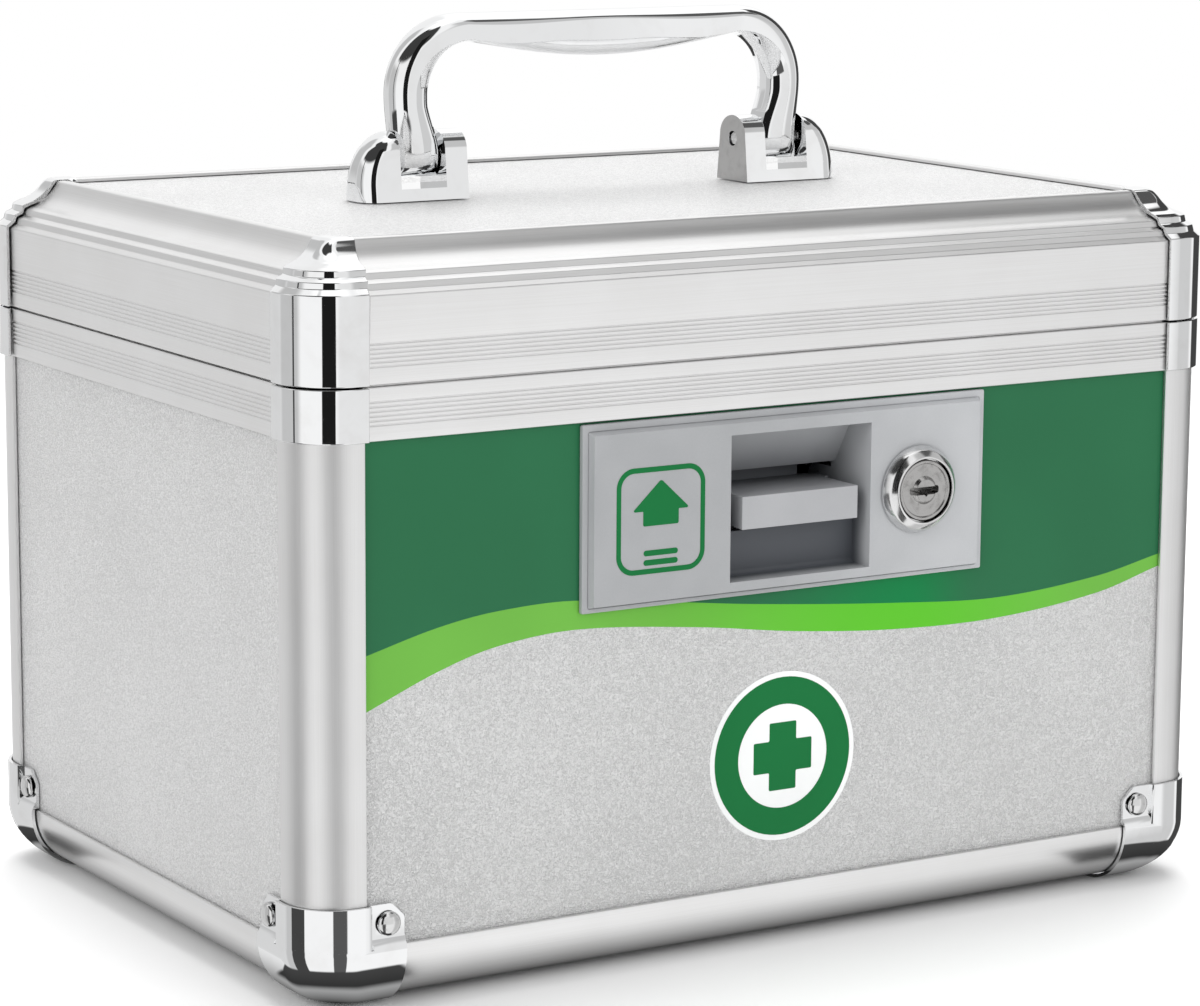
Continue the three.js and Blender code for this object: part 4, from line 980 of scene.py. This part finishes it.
def buildLock():
    x, z, steps = plate["lockX"], plate["lockZ"], lock["steps"]
    bezel = turned(rounded(lock["bezel"]), x, z, alongY, steps)
    redrawn("lock_barrel", "plated", bezel, "bezel", "body", "chrome")
    low, high = boxOf("lock_plug")
    long, tall, soft, wards = lock["slot"][0] / 2, lock["slot"][1] / 2, lock["slotRound"], lock["wards"]
    slot = rounded([
        (x - long, z - tall, soft), (x - wards, z - tall), (x, z - tall - wards), (x + wards, z - tall),
        (x + long, z - tall, soft), (x + long, z + tall, soft), (x - long, z + tall, soft),
    ])
    half = lock["square"] / 2
    start = high.y - lock["squareLength"] - past
    plug = carved(
        turned(rounded(lock["plug"]), x, z, alongY, steps),
        ("UNION", block(x - half, x + half, start, high.y, z - half, z + half)),
        ("DIFFERENCE", prism(slot, low.y - past, low.y + lock["slotDepth"], alongY)),
    )
    redrawn("lock_plug", "turned", plug, "lock", "lock", "lock_metal", lock["edge"])
    paint("lock_cam", "steel", lock["camEdge"])
    paint("lock_nut", "steel", lock["nutEdge"])


buildLock()
print("cam lock")


# Print on the front panel and on the plate, and the round badge

film = {"thick": 0.05, "air": 0.01, "over": 0.005}  # air behind it, and between two prints
printing = {
    "left": -106.5, "right": 106.5, "top": 124.8, "steps": 96, "trim": 1.5,
    "upper": [(-106.2, 78.5), (-88.7, 82.9), (-74.0, 85.0), (-54.1, 85.3), (-7.4, 79.8),
              (30.8, 76.2), (59.2, 74.6), (88.2, 76.8), (106.0, 80.3)],
    "lower": [(-106.2, 66.3), (-88.7, 73.3), (-74.0, 77.3), (-54.1, 78.9), (-23.2, 76.2),
              (3.4, 72.5), (31.0, 70.1), (59.3, 69.8), (88.4, 72.8), (106.2, 77.4)],
}


def heightAt(points, x):  # a smooth line through points, at x
    for index in range(len(points) - 1):
        if x <= points[index + 1][0] or index == len(points) - 2:
            break
    before = points[max(index - 1, 0)]
    start, end = points[index], points[index + 1]
    after = points[min(index + 2, len(points) - 1)]
    span = end[0] - start[0]
    slopeIn = (end[1] - before[1]) / (end[0] - before[0]) * span
    slopeOut = (after[1] - start[1]) / (after[0] - start[0]) * span
    share = (x - start[0]) / span
    square, cube = share ** 2, share ** 3
    return (
        start[1] * (2 * cube - 3 * square + 1) + slopeIn * (cube - 2 * square + share)
        + end[1] * (3 * square - 2 * cube) + slopeOut * (cube - square)
    )


def filmStrip(topLine, lowLine, y):
    left, right, steps = pick(printing, "left right steps")
    back = y + film["thick"]
    rings = []
    for number in range(steps + 1):
        x = left + (right - left) * number / steps
        high, low = topLine(x), lowLine(x)
        rings.append([(x, y, low), (x, y, high), (x, back, high), (x, back, low)])
    return loft(rings)


def buildPrint():
    y = panelFace - film["thick"] - film["air"]
    trim = printing["trim"]

    def line(key):
        return lambda x: heightAt(printing[key], x)

    behind = block(plateLow.x + trim, plateHigh.x - trim, y - past, y + past,
                   plateLow.z + trim, plateHigh.z - trim)
    dark = carved(filmStrip(lambda x: printing["top"], line("upper"), y), ("DIFFERENCE", behind))
    newPiece("print_dark_green", dark, "green", "body", "print_dark_green")
    newPiece("print_lime", filmStrip(line("upper"), line("lower"), y), "lime", "body", "print_lime")


badge = {
    "x": 0.1, "z": 44.2, "radius": 19.45, "ringOuter": 18.2, "ringInner": 11.95, "cross": 7.8,
    "arm": 3.6, "soft": 0.35, "steps": 72,
}


def buildBadge():
    x, z, long, arm, soft = pick(badge, "x z cross arm soft")
    face = panelFace - film["air"]
    front = face - film["thick"] - film["over"]

    def circle(key):
        return arc(x, z, badge[key], badge["steps"], 0, 2)[:-1]

    disc = prism(circle("radius"), face - film["thick"], face, alongY)
    newPiece("badge_disc", disc, "white", "body", "print_white")
    ring = band(circle("ringOuter"), circle("ringInner"), front - film["thick"], front, alongY)
    newPiece("badge_ring", ring, "badgeGreen", "body", "print_badge_green")
    outline = []
    for turn in range(4):
        cos, sin = math.cos(turn * quarter), math.sin(turn * quarter)
        outline += [
            (x + u * cos - v * sin, z + u * sin + v * cos, soft)
            for u, v in ((long, -arm), (long, arm), (arm, arm))
        ]
    cross = prism(rounded(outline), front - film["thick"], front, alongY)
    newPiece("badge_cross", cross, "badgeGreen", "body", "print_badge_green")


icon = {
    "left": -46.0, "right": -23.3, "bottom": 90.1, "top": 113.7, "corner": 4.4, "line": 1.15,
    "tip": 110.8, "shoulder": 104.0, "head": 7.4, "stem": 4.55, "heel": 100.7,
    "bars": (94.7, 92.6), "barHalf": 4.4, "barThick": 1.25, "barRound": 0.98,
}


def buildIcon():
    left, right, bottom, top = pick(icon, "left right bottom top")
    head, stem, shoulder, heel = pick(icon, "head stem shoulder heel")
    face = plate["face"] - film["air"]
    low = face - film["thick"]
    x = (left + right) / 2

    def frameLine(inset):
        return frameOutline(left + inset, right - inset, bottom + inset, top - inset,
                            icon["corner"] - inset)

    arrow = rounded([
        (x, icon["tip"], 0.6), (x - head, shoulder, 0.3), (x - stem, shoulder, 0.2),
        (x - stem, heel, 0.4), (x + stem, heel, 0.4),
        (x + stem, shoulder, 0.2), (x + head, shoulder, 0.3),
    ])
    border = band(frameLine(0), frameLine(icon["line"]), low, face, alongY)
    parts = [border, prism(arrow, low, face, alongY)]
    long, half = icon["barHalf"], icon["barThick"] / 2
    for z in icon["bars"]:
        line = frameOutline(x - long, x + long, z - half, z + half, half * icon["barRound"])
        parts.append(prism(line, low, face, alongY))
    newPiece("icon_print", joined(*parts), "badgeGreen", "body", "print_badge_green")


buildPrint()
buildBadge()
buildIcon()
print("print, badge and icon")


# Handle: outer and inner edge lines of the bail in its own plane, and a section between them

bracketLow, bracketHigh = boxOf("right_handle_bracket")
handleHigh = boxOf("handle")[1]
bail = {  # "upper" to "across" are shares of half the section's size, at rest and as it grows
    "pivot": 175, "hubCentre": 49.9, "hub": 5.5, "hubRadius": 5.2, "legOuter": 56.3, "legInner": 47.2,
    "legTop": 189, "outerBend": (38.3, 18), "innerBend": (36.3, 190.1, 10.5),
    "under": 196.4, "underRise": 4.2, "legDepth": 5.0, "gripDepth": 5.6, "parts": (0.2, 0.35, 0.45),
    "legSteps": 14, "bendSteps": 20, "gripSteps": 18, "hubSteps": 7, "hubEnd": 0.12, "hurry": 1.1,
    "pin": 1.5, "boreHalf": 60, "step": 0.9, "least": 0.02, "thicken": 0.3, "narrow": (0.2, 0.55),
    "full": (0.5, 0.95), "upper": (-0.02, 0.62), "lower": (-0.12, -0.68, 0.5), "belly": (0.6, -0.25),
    "along": (0.6, 0.36), "across": (0.25, -0.2), "roundSteps": 24, "edge": (0, 2, 50),
}


def bailStations():  # outer and inner places from the pivot to the grip's middle, and how far along
    pivot, top, hubCentre, hub, legInner = pick(bail, "pivot legTop hubCentre hub legInner")
    legSteps, bendSteps, gripSteps, parts = pick(bail, "legSteps bendSteps gripSteps parts")
    (outX, outRadius), (inX, inZ, inRadius) = pick(bail, "outerBend innerBend")
    stations = []
    for number in range(legSteps):
        share = number / legSteps
        ease = eased(share, 0, 1)
        z = pivot + (top - pivot) * share
        outer = hubCentre + hub + (bail["legOuter"] - hubCentre - hub) * ease
        inner = hubCentre - hub
        inner += (legInner - inner) * min(1, ease * bail["hurry"])
        stations.append(((outer, z), (inner, z), share * parts[0]))
    for number in range(bendSteps):
        share = number / bendSteps
        angle, rest = quarter * share, (1 - share) ** 2
        outer = (outX + outRadius * math.cos(angle), top + outRadius * math.sin(angle))
        inner = (inX + inRadius * math.cos(angle) + (legInner - inX - inRadius) * rest,
                 inZ + inRadius * math.sin(angle) - (inZ - top) * rest)
        stations.append((outer, inner, parts[0] + parts[1] * share))
    for number in range(gripSteps + 1):
        share = number / gripSteps
        swell = 0.5 - 0.5 * math.cos(math.pi * share)
        under = bail["under"] + bail["underRise"] * (1 - math.sin(quarter * share))
        stations.append(((outX * (1 - share), handleHigh.z), (inX * (1 - share), under),
                         parts[0] + parts[1] + parts[2] * swell))
    return stations


def eased(value, start, end):
    share = min(max((value - start) / (end - start), 0), 1)
    return share * share * (3 - 2 * share)


def bailSection(half, depth, grip):  # u outward from the middle of the section, v its depth
    upper, lower, belly, along, across = pick(bail, "upper lower belly along across")
    spread = max(0.0, (grip - bail["thicken"]) / (1 - bail["thicken"]))
    narrow, full = eased(grip, *bail["narrow"]), eased(grip, *bail["full"])
    high = (upper[0] + upper[1] * spread) * half
    low = (lower[0] + lower[1] * narrow + lower[2] * full) * half
    step = bail["step"] * full + bail["least"]
    count = bail["roundSteps"]
    outline = [
        (high + (half - high) * math.cos(angle), depth * math.sin(angle))
        for angle in (-quarter + math.pi * i / count for i in range(count + 1))
    ]
    start, bottom = (low - step / 3, depth - step), (-half, (belly[0] + belly[1] * spread) * depth)
    bend = (start[0] + (bottom[0] - start[0]) * (along[0] + along[1] * full),
            start[1] + (bottom[1] - start[1]) * (across[0] + across[1] * full))
    under = [(low, depth)] + curve(start, bend, bottom, 8)
    return outline + under + [(u, -v) for u, v in reversed(under)]


def buildHandle():
    legDepth, gripDepth, thicken, hub, hubSteps = pick(bail, "legDepth gripDepth thicken hub hubSteps")
    half = []
    for outer, inner, grip in bailStations():
        outer, inner = Vector(outer), Vector(inner)
        across = (outer - inner).normalized()
        middle = (outer + inner) / 2
        depth = legDepth + (gripDepth - legDepth) * max(0, grip - thicken) / (1 - thicken)
        section = bailSection((outer - inner).length / 2, depth, grip)
        half.append([(middle.x + across.x * u, v, middle.y + across.y * u) for u, v in section])
    cap = []
    for number in range(hubSteps, 0, -1):
        angle = quarter * (number - bail["hubEnd"]) / hubSteps
        z = bail["pivot"] - bail["hubRadius"] * math.sin(angle)
        section = bailSection(hub, legDepth * math.cos(angle), 0)
        cap.append([(bail["hubCentre"] + u, v, z) for u, v in section])
    right = cap + half
    left = [[(-x, y, z) for x, y, z in ring] for ring in reversed(right[:-1])]
    reach = bail["boreHalf"]
    bore = rod(bail["pin"] + gap, -reach, reach, 0, bail["pivot"], alongX, 32)
    mesh = carved(loft(right + left), ("DIFFERENCE", bore))
    redrawn("handle", "cast", mesh, "chrome", "handle", "chrome", *bail["edge"])


bracket = {
    "notchInner": 44.0, "notchOuter": 55.8, "notchFloor": 2.8, "top": 5.6, "bulbHeight": 12.4,
    "halfHeel": 6.7, "halfShoulder": 5.5, "shoulderDrop": 4.6, "planRadius": 5, "nearly": 0.98,
    "steepest": 0.9995, "edge": (0.45, 3, 35), "stud": 2, "studRoot": 1, "studEnd": 3.2,
    "studEndLength": 1, "studInset": 4.2,
    "steps": 20, "pinFace": [(0, 0.25), (1.0, 0.3), (1.4, 0.45), (1.5, 0.7)], "cheek": 0.01,
}


def buildBrackets():
    notchIn, notchOut, nearly, steps = pick(bracket, "notchInner notchOuter nearly steps")
    heel, shoulder, drop, inset = pick(bracket, "halfHeel halfShoulder shoulderDrop studInset")
    pivot, pinRadius = bail["pivot"], bail["pin"]
    low, panelLow = case["lidPanel"] + gap, boxOf("lid_top_panel")[0].z - gap
    inner, outer = bracketLow.x, bracketHigh.x
    top = pivot + bracket["top"]
    base = top - bracket["bulbHeight"]
    pinEnd = (notchOut + outer) / 2

    def bulge(climb):  # the width that a rounded end leaves, for how far it has been climbed
        return math.sqrt(1 - min(max(climb, 0), bracket["steepest"]) ** 2)

    def stud(x):
        radius, end, root, length = pick(bracket, "stud studEnd studRoot studEndLength")
        return turned([
            (0, low + root), (radius, low + root), (radius, panelLow), (end, panelLow),
            (end, panelLow - length), (0, panelLow - length),
        ], x, 0, alongZ, 28)

    rings = []
    for number in range(3 * steps + 1):
        z = low + (top - low) * math.sin(quarter * number / (3 * steps))
        half = heel + (shoulder - heel) * min((z - low) / (top - drop - low), 1)
        half *= bulge((z - top + drop) / drop)
        end = notchOut + (outer - notchOut) * bulge((z - base) / bracket["bulbHeight"])
        turn = min(bracket["planRadius"], half * nearly, (end - notchOut) * nearly)
        plan = [(inner, -half), *arc(end - turn, turn - half, turn, steps, -0.5, 0),
                *arc(end - turn, half - turn, turn, steps, 0, 0.5), (inner, half)]
        rings.append([(x, y, z) for x, y in plan])
    mesh = carved(
        loft(rings),
        ("DIFFERENCE", block(notchIn, notchOut, -heel - past, heel + past,
                             low + bracket["notchFloor"], top + past)),
        ("DIFFERENCE", rod(pinRadius + gap, inner - past, pinEnd + gap, 0, pivot, alongX, 32)),
        ("UNION", stud(inner + inset)),
        ("UNION", stud(outer - inset)),
    )
    pinFace = [(radius, inner + depth) for radius, depth in bracket["pinFace"]]
    pin = turned(pinFace + [(pinRadius, pinEnd), (0, pinEnd)], 0, pivot, alongX, 28)
    for word, matrix in (("right", Matrix.Identity(4)), ("left", Matrix.Rotation(math.pi, 4, "Z"))):
        piece = newPiece(word + "_bracket_cast", moved(mesh, matrix), "chrome", "lid", "chrome",
                         [word + "_handle_bracket"], *bracket["edge"])
        piece.data.materials.append(looks["cast"].material)
        for face in piece.data.polygons:  # the inner cheeks were left unpolished
            face.material_index = int(abs(abs(face.center.x) - inner * mm) < bracket["cheek"] * mm)
        newPiece(word + "_pin_turned", moved(pin, matrix), "steel", "lid", "steel",
                 [word + "_handle_pin"])


buildHandle()
buildBrackets()
print("handle and brackets")


# Hinge, catch and springs

hinge = {
    "axisY": 85.4, "halfLength": 99, "knuckles": 9, "radius": 2.1, "gap": 0.4, "pin": 0.8,
    "pinHead": 1.7, "pinTip": 1.1, "peened": (0.3, 0.8), "leafBack": 83.3, "leaf": 1, "height": 11,
    "lug": 2.9, "lugLow": 0.67, "lugTop": 1, "edge": 0.15,
    "rivets": 5, "rivetRadius": 2, "rivetRise": 0.8, "rivetHeight": 6.6, "rivetAir": 0.02,
}


def hingeLeaf(first, sign):
    axisY, half, knuckles, back, lug = pick(hinge, "axisY halfLength knuckles leafBack lug")
    seam, pitch = case["seam"], 2 * half / knuckles
    low, high = sorted((seam, seam + sign * hinge["height"]))
    steps = []
    for number in range(knuckles):
        mine = number % 2 == first
        grow = -hinge["gap"] / 2 if mine else hinge["gap"] / 2
        start, end = -half + number * pitch - grow, -half + (number + 1) * pitch + grow
        radius = hinge["radius"] if mine else hinge["radius"] + gap
        barrel = rod(radius, start, end, axisY, seam, alongX, 32)
        steps.append(("UNION" if mine else "DIFFERENCE", barrel))
        if mine and sign > 0:
            steps.append(("UNION", block(start, end, axisY, axisY + lug,
                                         seam - hinge["lugLow"], seam + hinge["lugTop"])))
    bore = rod(hinge["pin"] + gap, -half - past, half + past, axisY, seam, alongX, 20)
    leaf = block(-half, half, back, back + hinge["leaf"], low, high)
    return carved(leaf, *steps, ("DIFFERENCE", bore))


def buildHinge():
    for first, word, sign in ((0, "body", -1), (1, "lid", 1)):
        leaf = hingeLeaf(first, sign)
        redrawn(f"hinge_{word}_leaf", "rolled", leaf, "steel", word, "steel", hinge["edge"])
    head, tip, radius, (short, long) = pick(hinge, "pinHead pinTip pin peened")
    end = hinge["halfLength"] + gap
    half = [(radius, end), (head, end), (head, end + short), (tip, end + long), (0, end + long)]
    pin = turned([(u, -w) for u, w in reversed(half)] + half, hinge["axisY"], case["seam"], alongX, 24)
    redrawn("hinge_pin", "peened", pin, "steel", "body", "steel")
    base = hinge["leafBack"] + hinge["leaf"] + hinge["rivetAir"]
    profile = domed(hinge["rivetRadius"], base, hinge["rivetRise"], 6) + [(0, base)]
    spacing = 2 * hinge["halfLength"] / hinge["rivets"]
    for word, sign in (("body", -1), ("lid", 1)):
        height = case["seam"] + sign * hinge["rivetHeight"]
        heads = [
            turned(profile, -hinge["halfLength"] + (number + 0.5) * spacing, height, alongY, 24)
            for number in range(hinge["rivets"])
        ]
        newPiece(f"hinge_{word}_rivets", joined(*heads), "rivet", word, "rivet")


spring = {"wire": 0.35, "radius": 2.4, "curls": 4, "curlSteps": 24, "around": 10, "pressed": 0.67}


def buildSpring(node):
    low, high = boxOf(node)
    wire, radius, curlSteps, around = pick(spring, "wire radius curlSteps around")
    x, y = plate["recessCentre"], (low.y + high.y) / 2
    rise = high.z - low.z - 2 * wire
    total = spring["curls"] * curlSteps
    rings = []
    for step in range(total + 1):
        angle = 2 * math.pi * step / curlSteps
        z = low.z + wire + rise * step / total
        ring = []
        for number in range(around):
            turn = 2 * math.pi * number / around
            reach = radius + wire * math.cos(turn)
            ring.append((x + reach * math.cos(angle), y + reach * math.sin(angle),
                         z + wire * math.sin(turn)))
        rings.append(ring)
    piece = redrawn(node, "wound", loft(rings), "steel", "body", "steel")
    if node == "latch_spring":  # the latch spring, which the lever's tail presses down, only gets a mesh of its own here
        x * mm
        y * mm
        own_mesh(piece)


catchEdge = 0.2

buildHinge()
for node in ("latch_spring", "lift_spring"):
    buildSpring(node)
paint("lid_catch", "steel", catchEdge)
paint("latch_pin", "steel")
for side in sides:
    paint(side["name"] + "_panel", "panel")
for node in ("bottom_panel", "lid_top_panel"):
    paint(node, "panel")
print("hinge, catch, springs and panels")


# Camera, light and floor

cameraView = {
    "place": (-499.8, -821.65, 262.95), "azimuth": -31.39, "elevation": 10.247, "roll": 0.357,
    "lens": 122.226, "sensor": 36, "clip": (0.01, 50),
}


def addCamera(view):
    data = bpy.data.cameras.new("camera")
    data.lens = view["lens"]
    data.sensor_width = view["sensor"]
    data.clip_start, data.clip_end = view["clip"]
    azimuth, elevation = math.radians(view["azimuth"]), math.radians(view["elevation"])
    back = Vector((math.sin(azimuth) * math.cos(elevation), -math.cos(azimuth) * math.cos(elevation),
                   math.sin(elevation)))
    right = (-back).cross(Vector((0, 0, 1))).normalized()
    up = right.cross(-back)
    turn = Matrix((right, up, back)).transposed() @ Matrix.Rotation(math.radians(view["roll"]), 3, "Z")
    camera = placed("camera", data)
    camera.matrix_world = Matrix.Translation(Vector(view["place"]) * mm) @ turn.to_4x4()
    bpy.context.scene.camera = camera


lamps = [
    {"name": "topLamp", "place": (0.3, 0.7, 2.4), "size": 2.0, "power": 58},
    {"name": "leftLamp", "place": (-2.4, -0.9, 1.5), "size": 1.6, "power": 22},
    {"name": "frontLamp", "place": (0.5, -2.6, 1.2), "size": 1.6, "power": 12},
]
worldLight = 0.72
aim = Vector((0, 0, 0.08))


def addLamps():
    for lamp in lamps:
        data = bpy.data.lights.new(lamp["name"], "AREA")
        data.shape = "SQUARE"
        data.size = lamp["size"]
        data.energy = lamp["power"]
        thing = placed(lamp["name"], data)
        thing.location = lamp["place"]
        thing.rotation_euler = (aim - thing.location).to_track_quat("-Z", "Y").to_euler()
        thing.visible_glossy = False


def addWorld():
    world = bpy.data.worlds.new("studio")
    world.use_nodes = True
    bpy.context.scene.world = world
    graph = Graph(world.node_tree)
    rays = ["Is Camera Ray", "Is Glossy Ray", "Is Transmission Ray"]
    seen = [graph.add("ShaderNodeLightPath", output=ray) for ray in rays]
    share = seen[0].highest(seen[1]).highest(seen[2])
    light, white = [
        graph.add("ShaderNodeBackground", {}, {"Color": grey(1.0), "Strength": strength})
        for strength in (worldLight, 1.0)
    ]
    graph.ending("World Output", graph.add("ShaderNodeMixShader", {}, {0: share, 1: light, 2: white}))


floorSize = {"half": 6.0, "colour": grey(0.94), "rough": 0.8, "fade": (0.3, 1.2)}


def groundSquare(name, half, finish):  # a flat square on the ground, its half width in metres
    half /= mm
    mesh = meshFrom([(-half, -half, 0), (half, -half, 0), (half, half, 0), (-half, half, 0)],
                    [(0, 1, 2, 3)])
    mesh.materials.append(finish.material)
    return placed(name, mesh)


def addFloor():
    finish = Finish("floor", {"Base Color": floorSize["colour"], "Roughness": floorSize["rough"]})
    away = finish.add("ShaderNodeVectorMath", {"operation": "LENGTH"}, {0: finish.spot()}, "Value")
    finish.faded(away.eased(*floorSize["fade"]))
    floor = groundSquare("floor", floorSize["half"], finish)
    floor.visible_glossy = False


dome = {"radius": 4.0, "turns": 64, "rises": 32, "shade": 1.0, "brightest": 1.3}
glowing = {"Base Color": grey(0.0), "Roughness": 1.0, "Specular IOR Level": 0.0}
# what metal mirrors: bearing from the front, rise, shade and softness, in degrees, later ones on top
shades = [
    ((-200, -134), (-90, 28), 0.72, 6),
    ((-134, -88), (-90, 28), 0.58, 6),
    ((-14, 34), (-90, 28), 0.86, 5),
    ((-14, 34), (-90, -13), 1.02, 2),
    ((40, 76), (-90, 28), 0.66, 5),
    ((-134, 20), (30, 74), 1.0, 6),
    ((20, 84), (16, 58), 0.58, 6),
    ((84, 170), (24, 70), 1.2, 6),
    ((-168, -136), (6, 60), 0.56, 5),
    ((-200, -172), (8, 60), 0.95, 4),
    ((156, 200), (8, 60), 0.95, 4),
    ((46, 82), (40, 62), 0.1, 2),
    ((-200, 200), (74, 100), 1.25, 5),
    ((-112, -8), (45.5, 54), 0.03, 1),
    ((-118, -4), (34, 79), 0.05, 3),
    ((-101.8, -98.2), (-8.9, 50), 0.05, 0.5),
    ((-43.6, -18.5), (-8.9, 56), 0.012, 0.5),
    ((-114, -84), (-72, -8.9), 0.06, 0.8),
    ((-28, -2), (-72, -8.9), 0.10, 0.8),
    ((84, 122), (-70, 50), 0.06, 2),
    ((152, 172), (-70, 2), 0.05, 1),
]


def onlyMirrored(thing):
    for ray in ("camera", "diffuse", "shadow", "transmission"):
        setattr(thing, "visible_" + ray, False)


def makeGlow(name, strength):
    finish = Finish(name, {**glowing, "Emission Strength": strength})
    finish.material.cycles.emission_sampling = "NONE"
    return finish


def addDome():  # a shell round everything that only mirror rays see
    radius, brightest, tone = pick(dome, "radius brightest shade")
    finish = makeGlow("mirrored_room", brightest)
    place = finish.spot()
    x, y, z = (finish.axis(place, name) for name in "XYZ")
    around = x.math("ARCTAN2", x, 0 - y) * math.degrees(1)
    height = z.math("ARCSINE", z * (1 / radius)) * math.degrees(1)

    def within(value, limits, soft):
        low, high = limits
        return value.eased(low - soft, low + soft) * (1 - value.eased(high - soft, high + soft))

    for bearing, rise, shade, soft in shades:
        tone = tone + within(around, bearing, soft) * within(height, rise, soft) * (shade - tone)
    finish.give({"Emission Color": finish.tint(tone * (1 / brightest), grey(0.0), grey(1.0))})
    profile = arc(0, 0, radius / mm, dome["rises"], -0.5, 0.5)
    thing = placed("mirrored_dome", turned(profile, 0, 0, alongZ, dome["turns"]))
    thing.data.materials.append(finish.material)
    onlyMirrored(thing)


under = {
    "half": 0.4, "drop": 0.0005, "dark": (-15, 12), "fade": (11, 13.5), "strength": 0.84,
    "foot": (31, 28.5), "bandStart": (-3, 1), "bandEnd": (14, 16), "band": 0.93,
}


def addUnder():  # a dark board below the box that darkens its lower edges in mirror rays
    finish = makeGlow("dark_board", under["strength"])
    place = finish.spot()
    radius = bar["railRadius"]
    square, corner = 0, 1
    for axis, side in (("X", case["halfX"]), ("Y", case["halfY"])):
        along = finish.axis(place, axis)
        reach = along.highest(0 - along)
        beyond = (reach - (side - radius) * mm).highest(0)
        square = beyond * beyond + square
        start, end = under["foot"]
        corner = reach.eased((side - start) * mm, (side - end) * mm) * corner
    away = square.math("SQRT", square) - radius * mm
    start, end, tone, fade = (
        away.eased(low * mm, high * mm) for low, high in pick(under, "bandStart bandEnd dark fade")
    )
    tone = tone * (1 - corner * start * (1 - end) * under["band"])
    finish.give({"Emission Color": finish.tint(tone, grey(0.0), grey(1.0))})
    finish.faded(fade)
    thing = groundSquare("dark_board", under["half"], finish)
    thing.location.z = -under["drop"]
    onlyMirrored(thing)


addCamera(cameraView)
addLamps()
addWorld()
addFloor()
addDome()
addUnder()
bpy.context.scene.view_settings.view_transform = "Standard"
print("camera, light and floor")
